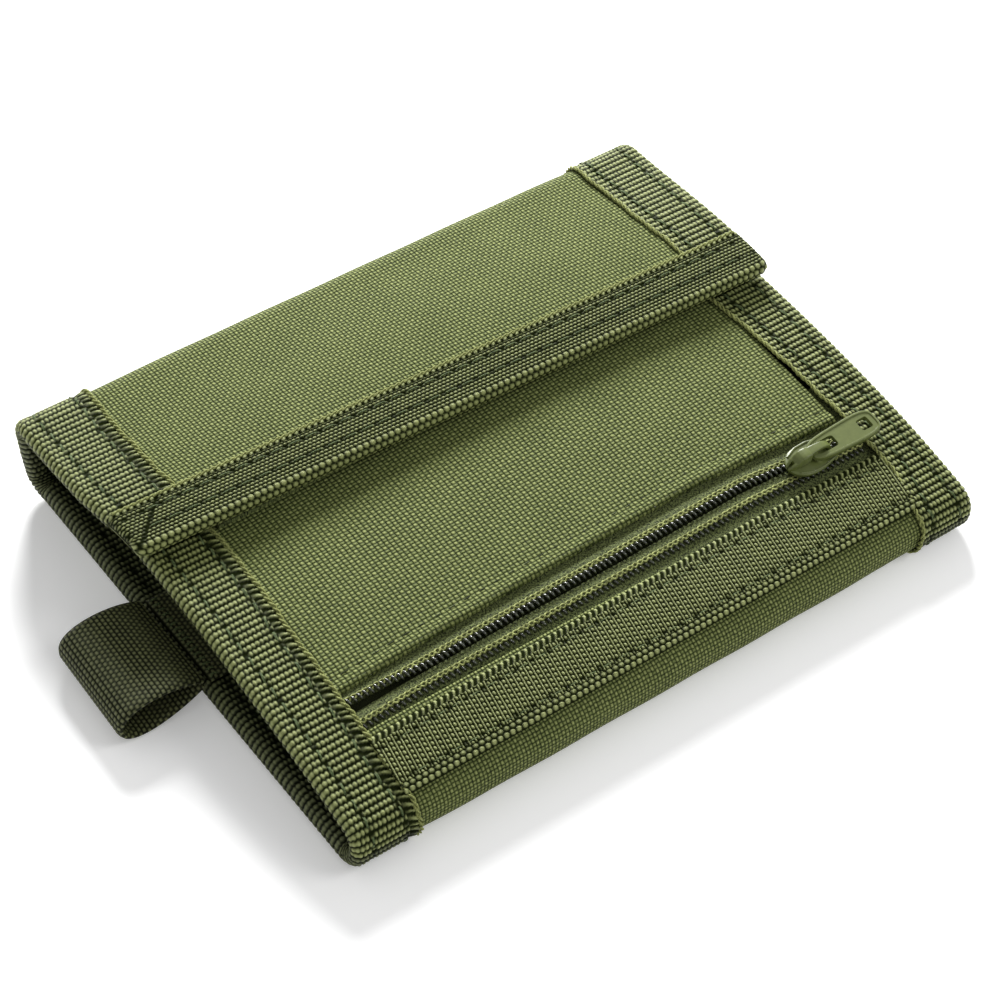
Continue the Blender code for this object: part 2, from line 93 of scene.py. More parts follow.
FRONT_TOP = FRONT_RADIUS + FRONT_SPINE
BACK_TOP = BACK_RADIUS + BACK_SPINE
slope = np.array([cos(pi / 2 - PANEL_TURN), sin(pi / 2 - PANEL_TURN)])
front_arc = arc(FRONT_Y, FRONT_TOP, FRONT_RADIUS, pi - PANEL_TURN, PANEL_TURN)
panel_end = front_arc[0]
flap_start = (BACK_Y, BACK_TOP + BACK_RADIUS)
PARTS = [
    bezier(PANEL_FAR, (9.0, 16.6), panel_end + slope * 19, panel_end),
    front_arc,
    np.array([(FRONT_Y - FRONT_RADIUS, FRONT_TOP), (FRONT_Y - FRONT_RADIUS, FRONT_RADIUS)]),
    arc(FRONT_Y, FRONT_RADIUS, FRONT_RADIUS, pi, pi / 2),
    np.array([(FRONT_Y, 0), (BACK_Y, 0)]),
    arc(BACK_Y, BACK_RADIUS, BACK_RADIUS, -pi / 2, pi / 2),
    np.array([(BACK_Y + BACK_RADIUS, BACK_RADIUS), (BACK_Y + BACK_RADIUS, BACK_TOP)]),
    arc(BACK_Y, BACK_TOP, BACK_RADIUS, 0, pi / 2),
    bezier(flap_start, (BACK_Y - 7.4, flap_start[1]), (26.0, FLAP_CROWN_Z), FLAP_FREE),
]
ENDS = np.cumsum([length_of(p) for p in PARTS])
S_PANEL, S_SPINE_A, S_SPINE_B, S_BOTTOM, S_BACK, S_BACK_LOW, S_BACK_HIGH, S_FLAP, S_END = ENDS
CUT_FRONT = (S_SPINE_A + S_SPINE_B) / 2
CUT_BOTTOM = (S_BOTTOM + S_BACK) / 2
CUT_BACK = (S_BACK_LOW + S_BACK_HIGH) / 2

raw = np.concatenate(PARTS)
raw = raw[np.r_[True, np.linalg.norm(np.diff(raw, axis=0), axis=1) > 1e-6]]
raw_s = np.r_[0, np.cumsum(np.linalg.norm(np.diff(raw, axis=0), axis=1))]
S = np.arange(0, S_END, 0.05)
PATH = np.c_[np.interp(S, raw_s, raw[:, 0]), np.interp(S, raw_s, raw[:, 1])]
way = np.gradient(PATH, axis=0)
for _ in range(12):
    way[1:-1] = (way[:-2] + way[1:-1] * 2 + way[2:]) / 4
way /= np.linalg.norm(way, axis=1)[:, None]
NORMAL = np.c_[way[:, 1], -way[:, 0]]


def extend(values, step):
    """The same table with a straight stretch of 8 mm added at both ends."""
    first = [values[0] - step[0] * 8]
    last = [values[-1] + step[-1] * 8]
    return np.concatenate([first, values, last])


S_LONG = np.concatenate([[S[0] - 8], S, [S[-1] + 8]])
PATH_LONG = extend(PATH, way)
NORMAL_LONG = extend(NORMAL, way * 0)


def s_on_panel(y):
    """Strip coordinate of a y on the zip panel."""
    inside = S <= S_PANEL
    return np.interp(-np.asarray(y, float), -PATH[inside, 0], S[inside])


def panel_span(*ys):
    return [float(s) for s in s_on_panel(ys)]


def smooth(value, start, end):
    t = np.clip((np.asarray(value, float) - start) / (end - start), 0, 1)
    return t * t * (3 - 2 * t)


# how far the real wallet's left and right sides stand outside the nominal width, along the strip
SIDE_S = [0, s_on_panel(0), S_PANEL, S_BOTTOM, S_BACK, CUT_BACK, S_FLAP, S_FLAP + 18, S_END - 6, S_END]
LEFT_OUT = [-1.0, -1.4, -1.0, -0.2, 0.3, 1.6, 2.5, 2.2, 0.9, 0.4]
RIGHT_OUT = [-0.5, -0.2, -0.2, 0.0, 0.0, -0.2, -0.5, -0.5, -0.4, -0.2]
FLAP_SKEW = 0.0307


def place(x, s, h):
    """Strip coordinates to the row frame, in millimetres."""
    x, s, h = np.broadcast_arrays(*(np.asarray(v, float) for v in (x, s, h)))
    s = s + FLAP_SKEW * x * smooth(s, S_FLAP, S_END)
    left = np.interp(s, SIDE_S, LEFT_OUT)
    right = np.interp(s, SIDE_S, RIGHT_OUT)
    share = (x + HALF_WIDTH) / (2 * HALF_WIDTH)
    wide = x - left * (1 - share) ** 2 + right * share**2
    panel = 1 - smooth(s, S_PANEL - 14, S_PANEL)
    flap = smooth(s, S_FLAP, S_FLAP + 12)
    sag = 0.22 * panel * np.sin(x / 17 + 0.6) * np.sin(s / 13 + 0.4)
    sag = sag + 0.3 * flap * np.sin(x / 23 + 1.1) * np.cos((s - S_FLAP) / 15)
    h = h + sag
    y = np.interp(s, S_LONG, PATH_LONG[:, 0]) + np.interp(s, S_LONG, NORMAL_LONG[:, 0]) * h
    z = np.interp(s, S_LONG, PATH_LONG[:, 1]) + np.interp(s, S_LONG, NORMAL_LONG[:, 1]) * h
    return np.stack([wide, y, z], -1)


INNER_S = [0, s_on_panel(8), s_on_panel(-23), s_on_panel(-35), S_PANEL - 1, S_PANEL + 6, S_FLAP, S_END]
INNER_RIGHT = [51.8, 51.9, 54.2, 54.2, 52.6, 51.6, 50.4, 51.8]
INNER_LEFT = [51.2, 51.3, 52.0, 52.2, 52.0, 51.4, 50.6, 51.4]


def inner_edge(side, s):
    """Half width at which a side binding's inner edge lies."""
    table = INNER_RIGHT if side > 0 else INNER_LEFT
    wobble = 0.12 * np.sin(s / 5.3 + side) + 0.08 * np.sin(s / 2.1)
    return np.interp(s, INNER_S, table) + wobble


def edge_radius(s):
    """Half the thickness of the bound side."""
    bottom = smooth(s, S_SPINE_B, S_BOTTOM) * (1 - smooth(s, S_BACK, S_BACK_LOW))
    return (THIN_EDGE + (THICK_EDGE - THIN_EDGE) * bottom) / 2


# ---- node materials ----

DYE = (0.62, 0.58, 0.52)  # how dark the nylon is under the bright studio light
WEAVE_DRIFT = 0.4


def new_material(name, roughness, specular=0.5, coat=0.0):
    material = bpy.data.materials.new(name)
    material.use_nodes = True
    shader = material.node_tree.nodes["Principled BSDF"]
    shader.inputs["Roughness"].default_value = roughness
    shader.inputs["Specular IOR Level"].default_value = specular
    shader.inputs["Coat Weight"].default_value = coat
    return material, material.node_tree, shader


def calc(tree, operation, *values, clamp=False):
    node = tree.nodes.new("ShaderNodeMath")
    node.operation = operation
    node.use_clamp = clamp
    for socket, value in zip(node.inputs, values):
        if isinstance(value, (int, float)):
            socket.default_value = value
        else:
            tree.links.new(value, socket)
    return node.outputs[0]


def plus(tree, a, b, clamp=False):
    return calc(tree, "ADD", a, b, clamp=clamp)


def times(tree, a, b):
    return calc(tree, "MULTIPLY", a, b)


def swing(tree, value, reach):
    """A value of 0 to 1 turned into one of that reach, centred on zero."""
    return times(tree, calc(tree, "SUBTRACT", value, 0.5), reach)


def attribute(tree, name, kind="Vector"):
    node = tree.nodes.new("ShaderNodeAttribute")
    node.attribute_name = name
    return node.outputs[kind]


def noise(tree, vector, scale, detail=3.0, rough=0.55):
    node = tree.nodes.new("ShaderNodeTexNoise")
    node.inputs["Scale"].default_value = scale
    node.inputs["Detail"].default_value = detail
    node.inputs["Roughness"].default_value = rough
    tree.links.new(vector, node.inputs["Vector"])
    return node.outputs["Fac"]


def paint(tree, shader, factor, stops):
    """The base colour runs through the dyed stops as the factor rises."""
    node = tree.nodes.new("ShaderNodeValToRGB")
    elements = node.color_ramp.elements
    while len(elements) < len(stops):
        elements.new(0.5)
    for element, (position, colour) in zip(elements, stops):
        element.position = position
        element.color = (*[c * tint for c, tint in zip(colour, DYE)], 1)
    tree.links.new(factor, node.inputs["Fac"])
    tree.links.new(node.outputs["Color"], shader.inputs["Base Color"])


def bump(tree, shader, height, distance, strength=1.0):
    node = tree.nodes.new("ShaderNodeBump")
    node.inputs["Strength"].default_value = strength
    node.inputs["Distance"].default_value = distance
    tree.links.new(height, node.inputs["Height"])
    tree.links.new(node.outputs["Normal"], shader.inputs["Normal"])


def weave_height(tree, coordinates, pitch):
    """Plain weave from the strip coordinates: height 0 to 1, and which thread is on top."""
    split = tree.nodes.new("ShaderNodeSeparateXYZ")
    tree.links.new(coordinates, split.inputs[0])
    drift = swing(tree, noise(tree, coordinates, 0.7), WEAVE_DRIFT)
    u, v = (plus(tree, times(tree, split.outputs[i], 1 / pitch[i]), drift) for i in (0, 1))
    cells = plus(tree, calc(tree, "FLOOR", u), calc(tree, "FLOOR", v))
    warp = times(tree, calc(tree, "FRACT", times(tree, cells, 0.5)), 2.0)
    across, along = (calc(tree, "SINE", times(tree, calc(tree, "FRACT", w), pi)) for w in (u, v))

    def thread(width, length):
        crown = plus(tree, times(tree, length, 0.55), 0.45)
        return times(tree, calc(tree, "POWER", width, 0.7), crown)

    over = times(tree, thread(across, along), warp)
    under = times(tree, thread(along, across), calc(tree, "SUBTRACT", 1.0, warp))
    return plus(tree, over, under), warp


def cloth_material(name, dark, middle, pale, pitch=(0.69, 0.73), depth=0.0003):
    material, tree, shader = new_material(name, 0.7, specular=0.12)
    coordinates = attribute(tree, "strip")
    height, warp = weave_height(tree, coordinates, pitch)
    fibre = noise(tree, coordinates, 9.0, 2.0)
    lift = plus(tree, swing(tree, fibre, 0.9), swing(tree, noise(tree, coordinates, 1.5, 2.0), 0.5))
    # the colour follows the weave's height: painted shade in the gaps between threads and a painted
    # highlight on their crowns; the noise gives the yarn a random tone
    share = plus(tree, 0.74, times(tree, warp, 0.26))
    tone = plus(tree, times(tree, height, share), lift)
    tone = plus(tree, tone, swing(tree, noise(tree, coordinates, 0.12, 2.0), 0.16), clamp=True)
    paint(tree, shader, tone, [(0.05, dark), (0.45, middle), (0.98, pale)])
    bump(tree, shader, plus(tree, height, times(tree, fibre, 0.25)), depth)
    return material


def relief_material(name, dark, middle, pale):
    """Heavy tape whose ribs are real relief: the relief attribute is 0 in the gaps and 1 on the beads."""
    material, tree, shader = new_material(name, 0.5)
    coordinates = attribute(tree, "strip")
    fibre = noise(tree, coordinates, 11.0, 2.0)
    relief = attribute(tree, "relief", "Fac")
    tree.links.new(times(tree, relief, 0.35), shader.inputs["Specular IOR Level"])
    # the colour follows the relief: painted shade in the gaps, grooves and stitch holes, and a painted
    # highlight on the bead tops
    tone = plus(tree, relief, swing(tree, fibre, 0.9))
    tone = plus(tree, tone, swing(tree, noise(tree, coordinates, 0.35, 2.0), 0.25), clamp=True)
    paint(tree, shader, tone, [(0.16, dark), (0.52, middle), (0.97, pale)])
    bump(tree, shader, fibre, 0.00014, 0.9)
    return material


def fibre_material(name, dark, pale, scale=(0.5, 6.0, 6.0), depth=0.0001):
    """Thread or fuzzy tape: noise drawn out along the yarn."""
    material, tree, shader = new_material(name, 0.6, specular=0.15)
    mapping = tree.nodes.new("ShaderNodeMapping")
    mapping.inputs["Scale"].default_value = scale
    tree.links.new(attribute(tree, "strip"), mapping.inputs["Vector"])
    fibre = noise(tree, mapping.outputs[0], 2.2, 3.0, 0.7)
    paint(tree, shader, fibre, [(0.4, dark), (0.6, pale)])
    bump(tree, shader, fibre, depth)
    return material


def metal_material(name, dark, pale):
    material, tree, shader = new_material(name, 0.42, specular=0.4, coat=0.15)
    shader.inputs["Coat Roughness"].default_value = 0.25
    coordinates = tree.nodes.new("ShaderNodeTexCoord").outputs["Object"]
    paint(tree, shader, noise(tree, coordinates, 900.0, 3.0), [(0.3, dark), (0.7, pale)])
    bump(tree, shader, noise(tree, coordinates, 2500.0, 2.0), 0.00003, 0.5)
    return material


def coil_material():
    material, tree, shader = new_material("zip_coil", 0.22, specular=0.6, coat=0.4)
    coordinates = attribute(tree, "strip")
    stops = [(0.4, (0.012, 0.017, 0.008)), (0.6, (0.08, 0.1, 0.06))]
    paint(tree, shader, noise(tree, coordinates, 2.0), stops)
    bump(tree, shader, noise(tree, coordinates, 12.0), 0.00004)
    return material


def clear_material():
    material, tree, shader = new_material("clear_film", 0.12, specular=0.6)
    shader.inputs["Alpha"].default_value = 0.35
    haze = noise(tree, attribute(tree, "strip"), 0.3)
    paint(tree, shader, haze, [(0.3, (0.55, 0.57, 0.55)), (0.7, (0.7, 0.72, 0.7))])
    bump(tree, shader, haze, 0.0004)
    return material


def board_material():
    material, tree, shader = new_material("board_plastic", 0.5)
    grain = noise(tree, tree.nodes.new("ShaderNodeTexCoord").outputs["Object"], 1500.0)
    paint(tree, shader, grain, [(0.3, (0.01, 0.01, 0.01)), (0.7, (0.025, 0.025, 0.024))])
    bump(tree, shader, grain, 0.00003)
    return material


CLOTH_TONES = (0.014, 0.022, 0.006), (0.135, 0.185, 0.052), (0.44, 0.52, 0.21)
CLOTH = cloth_material("olive_cloth", *CLOTH_TONES)
PANEL_CLOTH = cloth_material("olive_panel_cloth", *CLOTH_TONES, (0.88, 0.67))
BINDING = relief_material("olive_binding", (0.018, 0.026, 0.008), (0.13, 0.165, 0.048), (0.54, 0.64, 0.26))
# a darker copy of the binding colours: painted shade for the bound sides' inner legs and for the shaded
# bottom and back folds
SHADED_BINDING = relief_material("binding_painted_shade", (0.01, 0.014, 0.005), (0.04, 0.054, 0.018), (0.26, 0.31, 0.14))
WEBBING = relief_material("olive_webbing", (0.018, 0.026, 0.008), (0.13, 0.165, 0.048), (0.54, 0.64, 0.27))
# a darker copy of the webbing colours for the side loop: painted shade on the wallet's shaded left side
SHADED_WEBBING = relief_material("webbing_painted_shade", (0.014, 0.018, 0.007), (0.045, 0.056, 0.02), (0.24, 0.28, 0.12))
SELVEDGE = fibre_material("selvedge_yarn", (0.14, 0.17, 0.045), (0.6, 0.7, 0.27), (0.8, 1.6, 1))
THREAD = fibre_material("sewing_thread", (0.03, 0.06, 0.02), (0.26, 0.36, 0.17), (4, 0.8, 1))
DARK_THREAD = fibre_material("dark_thread", (0.01, 0.016, 0.005), (0.07, 0.1, 0.035), (1, 4, 1))
ZIP_TAPE = fibre_material("zip_tape_cloth", (0.012, 0.022, 0.006), (0.3, 0.38, 0.15), (1.6, 1.1, 1), 0.0004)
LINING_TONES = (0.012, 0.017, 0.007), (0.035, 0.047, 0.018), (0.07, 0.09, 0.035)
LINING = cloth_material("dark_lining", *LINING_TONES, (0.3, 0.3), 0.00006)
PAINTED = metal_material("painted_zip_metal", (0.15, 0.2, 0.052), (0.18, 0.235, 0.065))
COIL = coil_material()
CLEAR = clear_material()
HOOKS = fibre_material("hook_nylon", (0.03, 0.045, 0.015), (0.12, 0.16, 0.06))

# ---- mesh helpers ----


def link_object(name, data):
    obj = bpy.data.objects.new(name, data)
    bpy.context.scene.collection.objects.link(obj)
    return obj


def finish_mesh(name, points, quads, caps, relief, strip, material, flat_tail=0):
    """A mesh object from arrays: points in mm, quads, and any end caps; the last faces are flat."""
    mesh = bpy.data.meshes.new(name)
    loops = np.concatenate([quads.ravel(), *caps])
    sizes = np.array([4] * len(quads) + [len(cap) for cap in caps])
    rounded = len(quads) - flat_tail
    mesh.vertices.add(len(points))
    mesh.vertices.foreach_set("co", (points * 0.001).astype(np.float32).ravel())
    mesh.loops.add(len(loops))
    mesh.loops.foreach_set("vertex_index", loops.astype(np.int32))
    mesh.polygons.add(len(sizes))
    mesh.polygons.foreach_set("loop_start", (np.cumsum(sizes) - sizes).astype(np.int32))
    mesh.polygons.foreach_set("loop_total", sizes.astype(np.int32))
    mesh.polygons.foreach_set("use_smooth", np.arange(len(sizes)) < rounded)
    mesh.update(calc_edges=True)
    layers = ("strip", "FLOAT_VECTOR", "vector", strip), ("relief", "FLOAT", "value", relief)
    for label, kind, field, values in layers:
        layer = mesh.attributes.new(label, kind, "POINT")
        layer.data.foreach_set(field, values.astype(np.float32).ravel())
    mesh.materials.append(material)
    bm = bmesh.new()
    bm.from_mesh(mesh)
    bmesh.ops.recalc_face_normals(bm, faces=bm.faces)
    bm.to_mesh(mesh)
    bm.free()
    return link_object(name, mesh)


def tube_arrays(rings):
    """Quads and caps for rings of points, shape (rings, points in a ring, 3), each ring closed."""
    n, m = rings.shape[:2]
    i, j = np.meshgrid(np.arange(n - 1), np.arange(m), indexing="ij")
    k = (j + 1) % m
    quads = np.stack([i * m + j, i * m + k, (i + 1) * m + k, (i + 1) * m + j], -1).reshape(-1, 4)
    caps = [np.arange(m)[::-1], (n - 1) * m + np.arange(m)]
    return quads, caps


class Batch:
    """Several closed tubes gathered into one mesh."""

    def __init__(self):
        self.points, self.quads, self.caps, self.relief, self.strip = [], [], [], [], []
        self.count = 0

    def add(self, rings, relief=None, strip=None):
        quads, caps = tube_arrays(rings)
        self.quads.append(quads + self.count)
        self.caps += [c + self.count for c in caps]
        flat = rings.reshape(-1, 3)
        self.points.append(flat)
        self.relief.append(np.ones(len(flat)) if relief is None else relief.ravel())
        self.strip.append(flat if strip is None else strip.reshape(-1, 3))
        self.count += len(flat)

    def make(self, name, material):
        points, quads, relief, strip = (
            np.concatenate(v) for v in (self.points, self.quads, self.relief, self.strip)
        )
        return finish_mesh(name, points, quads, self.caps, relief, strip, material)


def cord_rings(centres, radius, sides=7):
    """Rings round a line of points; radius may vary along it."""
    way = np.gradient(centres, axis=0)
    way /= np.linalg.norm(way, axis=1)[:, None]
    up = np.tile([0.0, 0.0, 1.0], (len(centres), 1))
    up[np.abs(way[:, 2]) > 0.95] = (0, 1, 0)
    right = np.cross(way, up)
    right /= np.linalg.norm(right, axis=1)[:, None]
    up = np.cross(right, way)
    a = np.linspace(0, 2 * pi, sides, endpoint=False)[None, :, None]
    radius = np.broadcast_to(np.asarray(radius, float), (len(centres),))[:, None, None]
    return centres[:, None, :] + (right[:, None, :] * np.cos(a) + up[:, None, :] * np.sin(a)) * radius


def grid_quads(n, m):
    """Quads for rings made of an upper and a lower row of m points; the ends are quads too."""
    quads, _ = tube_arrays(np.zeros((n, 2 * m, 3)))
    j = np.arange(m - 1)
    ends = [
        np.stack([ring + j, ring + j + 1, ring + 2 * m - 2 - j, ring + 2 * m - 1 - j], -1)
        for ring in (0, (n - 1) * 2 * m)
    ]
    return np.concatenate([quads, *ends])


def closed_sheet(name, upper, lower, tones, strip, material, flat_tail=0):
    """A closed sheet between two grids of points; tones are the upper and lower relief."""
    rings = np.concatenate([upper, lower[:, ::-1]], 1)
    both = np.concatenate([strip, strip[:, ::-1]], 1)
    quads = grid_quads(*upper.shape[:2])
    tone = np.concatenate(tones, 1)
    return finish_mesh(name, rings.reshape(-1, 3), quads, [], tone, both, material, flat_tail)


def cloth_sheet(name, x, s, top, bottom, material):
    """Plain cloth over a grid of strip coordinates; top and bottom give the two skins' heights."""
    x = np.broadcast_to(x, s.shape)
    strip = np.stack([x, s, s * 0], -1)
    tones = [np.ones(s.shape)] * 2
    ends = 2 * s.shape[1] - 2
    return closed_sheet(name, place(x, s, top), place(x, s, bottom), tones, strip, material, ends)


def sheet_grid(half, columns, start, end, rows):
    """Strip coordinates of a plain rectangle of cloth."""
    x = np.linspace(-half, half, columns)[None, :]
    return x, np.linspace(start, end, rows)[:, None] + x * 0


# ---- riding the bodies ----


def mark(nodes):
    """Hides the CAD nodes that the piece stands for."""
    if nodes:
        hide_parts(*nodes)


def settle(obj, body, slot, *nodes):
    """The piece rides one body."""
    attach(obj, body)
    mark(nodes)


def bend(obj, segment, depth, slot, *nodes):
    """The piece is baked where it lies, and the CAD nodes that it stands for are hidden. The segment and the
    depth are not used.
    """
    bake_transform(obj)
    mark(nodes)


# ---- the main cloth ----

COVER_HALF = 52.6
COVER_X = np.unique(np.r_[
    np.linspace(-COVER_HALF, COVER_HALF, 86),
    np.linspace(-COVER_HALF, -50, 5),
    np.linspace(50, COVER_HALF, 5),
])
COVER_THICK = 0.6
TOPSTITCH_IN = 2.9  # from the cloth's edge along the zip


def cover_height(x, s):
    """The cloth sits a little below its bindings and swells between them."""
    swell = 0.3 * (1 - (np.abs(x) / 52.0) ** 6)
    ripple = 0.05 * np.sin(x / 3.1 + s / 9) * np.sin(s / 4.3 + 1)
    return -0.5 + swell + ripple


def zip_fabric_edge(x):
    """Strip coordinate of the cloth's edge along the zip, which gapes towards the slider."""
    y = np.interp(x, [-53, -39, -8, 23, 42, 53], [-24.1, -23.2, -21.8, -20.8, -21.9, -22.6])
    return s_on_panel(y)


def make_covers():
    x = COVER_X[None, :]
    edge = zip_fabric_edge(COVER_X)[None, :]
    s = 1.0 + np.linspace(0, 1, 62)[:, None] * (edge - 1.0)
    stitch = np.exp(-(((edge - s) - TOPSTITCH_IN) / 0.35) ** 2)
    lip = 0.35 * smooth(s, edge - 3.5, edge)
    top = cover_height(x, s) - 0.22 * stitch + lip
    top = top - 0.35 * smooth(edge - s, 0.5, 0.0)
    panel = cloth_sheet("zip_panel_cloth", x, s, top, top - COVER_THICK, PANEL_CLOTH)
    settle(panel, "zip_panel", "shell_cloth", "zip_panel_cover")

    spans = [
        ("zip_front_cloth", "panel", *panel_span(-31.6), CUT_FRONT, ["zip_panel_front_strip"], 44),
        ("bottom_front_cloth", "front", CUT_FRONT, CUT_BOTTOM, ["front_fold_cover"], 60),
        ("bottom_back_cloth", "back", CUT_BOTTOM, CUT_BACK, ["back_cover", "back_fold_cover"], 64),
        ("flap_cloth", "flap", CUT_BACK, S_END - 2.0, ["flap_cover"], 62),
    ]
    for name, segment, start, end, nodes, rows in spans:
        s = np.linspace(start, end, rows)[:, None] + x * 0
        top = cover_height(x, s)
        if segment == "flap":
            top = top + 0.15 * smooth(s, S_FLAP + 6, S_FLAP + 18)
        sheet = cloth_sheet(name, x, s, top, top - COVER_THICK, CLOTH)
        bend(sheet, segment, COVER_THICK, "shell_cloth", *nodes)


# ---- woven tape relief ----


def fraction(value):
    return value - np.floor(value)


def hump(value, width=0.5):
    """A rounded rise once per unit, as wide as that share of it."""
    t = np.abs(fraction(value) - 0.5) / width
    return np.sqrt(np.clip(1 - t * t, 0, 1))


def bead(u, v, wide, tall):
    """A round rise in each unit cell, wide by tall as shares of the cell's half sides."""
    du = (fraction(u) - 0.5) / wide
    dv = (fraction(v) - 0.5) / tall
    return np.sqrt(np.clip(1 - du * du - dv * dv, 0, 1))


BEAD_ROW, BEAD_PITCH = 1.22, 0.8


def tape_relief(inner, outer, s, side):
    """Height 0 to 1 of a side binding; inner and outer are distances from its inner and outer edges."""
    row = s / BEAD_ROW
    stagger = 0.5 * (np.floor(row) % 2)
    merge = smooth(outer, 1.3, 0.2)
    wide = 0.5 + 0.14 * merge
    body = bead(outer / BEAD_PITCH + stagger, row, wide, 0.42 + 0.05 * smooth(outer, 3.2, 1.0))
    body = np.maximum(body, 0.8 * merge * hump(row, 0.4))
    if side > 0:
        return np.where(inner < 0.4, 0.3, body)
    curl = 0.55 * inner - 0.12 * inner**2 + 0.12 * np.sin(s * 2.3)
    bars = hump(s / BEAD_ROW + curl, 0.27) * (1 - 0.6 * smooth(inner, 0.5, 2.0))
    return np.where(inner < 2.0, bars, body)


STITCH_PITCH, THREAD_RUN = 3.3, 2.7


def stitch_dents(distance, s, phase):
    """A sewn groove with a hole at each stitch's end."""
    # what this takes off the relief also paints the groove and the holes darker: painted shade
    groove = 0.25 * np.exp(-((distance / 0.4) ** 2))
    along = (fraction(s / STITCH_PITCH + phase) - 0.5) * STITCH_PITCH
    return groove + 0.8 * np.exp(-((along / 0.4) ** 2)) * np.exp(-((distance / 0.38) ** 2))


def dip(t, depth):
    """How far a thread sinks below its middle; t runs from 0 to 1 along it."""
    return depth * np.abs(2 * t - 1) ** 3


def sewn_row(batch, numbers, phase, ends, s_of_x, rise, depth):
    """Threads of one row sewn along x, between two ends; each sinks by the depth at its own ends."""
    t = np.linspace(0, 1, 7)
    for k in numbers:
        a = (k + 0.5 - phase) * STITCH_PITCH + 0.3
        if ends[0] < a < ends[1]:
            x = a + THREAD_RUN * t
            batch.add(cord_rings(place(x, s_of_x(x), rise - dip(t, depth)), 0.11, 5))


# ---- side bindings ----

INNER_ROW, OUTER_ROW = 2.5, 3.2
TAPE_COLUMNS = 46
YARN_TWIST = 2.44
BINDING_SPANS = {
    "panel": (EDGE_BINDING - 1.0, CUT_FRONT),
    "front": (CUT_FRONT, CUT_BOTTOM),
    "back": (CUT_BOTTOM, CUT_BACK),
    "flap": (CUT_BACK, S_END - EDGE_BINDING + 1.0),
}
BINDING_NODES = {
    "panel": ["zip_panel"],
    "front": ["front_fold"],
    "back": ["back", "back_fold"],
    "flap": ["flap"],
}


def tape_section(side, s, leg):
    """Points across a side binding's outer or inner leg: x, h, normal, and distance from both edges."""
    face = 1 if leg == "outer" else -1
    radius = edge_radius(s)[:, None]
    inner = inner_edge(side, s)[:, None]
    flat_x = inner + (HALF_WIDTH - radius - inner) * np.linspace(0, 1, TAPE_COLUMNS)[None, :]
    turn = np.linspace(0, pi / 2, 11)[None, 1:] + radius * 0
    zero = flat_x * 0
    x = np.concatenate([flat_x, HALF_WIDTH - radius + radius * np.sin(turn)], 1)
    nx = np.concatenate([zero, np.sin(turn)], 1)
    nh = face * np.concatenate([zero + 1, np.cos(turn)], 1)
    h = radius * (nh - 1)
    steps = np.hypot(np.diff(x, axis=1), np.diff(h, axis=1))
    along = np.concatenate([zero[:, :1], np.cumsum(steps, 1)], 1)
    outer = along[:, TAPE_COLUMNS - 1:TAPE_COLUMNS] + radius - along
    return x, h, nx, nh, along, outer


def make_binding_leg(name, side, segment, leg, nodes):
    start, end = BINDING_SPANS[segment]
    s = np.linspace(start, end, int((end - start) / 0.22) + 2)
    x, h, nx, nh, inner, outer = tape_section(side, s, leg)
    across = s[:, None] + inner * 0
    relief = tape_relief(inner, np.abs(outer), across, side)
    dents = stitch_dents(inner - INNER_ROW, across, 0.0) + stitch_dents(outer - OUTER_ROW, across, 0.4)
    relief = np.clip(relief - dents, -0.3, 1)
    lift = 0.30 * relief - 0.12 - 0.1 * np.exp(-((inner - 1.9) / 0.5) ** 2)
    back = np.linspace(inner.shape[1] - 1, 0, 9).astype(int)
    ring_x = side * np.concatenate([x + nx * lift, x[:, back] - nx[:, back] * TAPE], 1)
    ring_h = np.concatenate([h + nh * lift, h[:, back] - nh[:, back] * TAPE], 1)
    ring_s = np.broadcast_to(s[:, None], ring_x.shape)
    tone = np.concatenate([np.clip(relief, 0, 1), x[:, back] * 0 + 0.3], 1)
    batch = Batch()
    batch.add(place(ring_x, ring_s, ring_h), tone, np.stack([ring_x, ring_s, ring_h], -1))
    # outer legs on the panel and the flap take the binding colour; the other legs take its darker copy,
    # painted shade
    lit = leg == "outer" and segment in ("panel", "flap")
    obj = batch.make(name, BINDING if lit else SHADED_BINDING)
    bend(obj, segment, 0.7 if leg == "outer" else 2.3, "binding_tape", *nodes)


def selvedge(name, side, segment):
    """The twisted edge yarns that stand proud along a binding's inner edge."""
    s = np.arange(*BINDING_SPANS[segment], 0.16)
    batch = Batch()
    for k in range(2):
        phase = 2 * pi * (s / YARN_TWIST + k / 2)
        x = inner_edge(side, s) - 0.02 + 0.24 * np.cos(phase) + 0.07 * np.sin(s / 0.9)
        line = place(side * x, s, 0.06 + 0.2 * np.sin(phase))
        strip = np.broadcast_arrays(x[:, None] * 3, s[:, None] * 2, phase[:, None] + np.arange(7))
        batch.add(cord_rings(line, 0.2 + 0.05 * np.sin(s / 0.7 + 2 * k), 7), None, np.stack(strip, -1))
    bend(batch.make(name, SELVEDGE), segment, 0.4, "binding_tape")


def stitch_row(batch, side, x_of_s, start, end, phase):
    """Short sewing threads lying in their groove, with their ends sunk in the cloth."""
    t = np.linspace(0, 1, 7)
    first = int(np.ceil(start / STITCH_PITCH + phase - 0.5))
    last = int(np.floor(end / STITCH_PITCH + phase - 0.5))
    for k in range(first, last):
        a = (k + 0.5 - phase) * STITCH_PITCH + 0.3
        s = a + (STITCH_PITCH - 1.1) * t
        if a < start or s[-1] > end:
            continue
        for strand in (-1, 1):
            x = x_of_s(s) + strand * 0.09 + rng.normal(0, 0.03) + 0.35 * (t - 0.5)
            line = place(side * x, s, 0.14 - dip(t, 0.42))
            batch.add(cord_rings(line, 0.1 + 0.02 * rng.random(), 5))


def binding_stitches(name, segment):
    start, end = BINDING_SPANS[segment]
    batch = Batch()
    for side in (-1, 1):
        stitch_row(batch, side, lambda s: inner_edge(side, s) + INNER_ROW, start, end, 0.0)
        stitch_row(batch, side, lambda s: HALF_WIDTH - OUTER_ROW + 0.0 * s, start, end, 0.4)
    bend(batch.make(name, THREAD), segment, 0.4, "binding_tape")


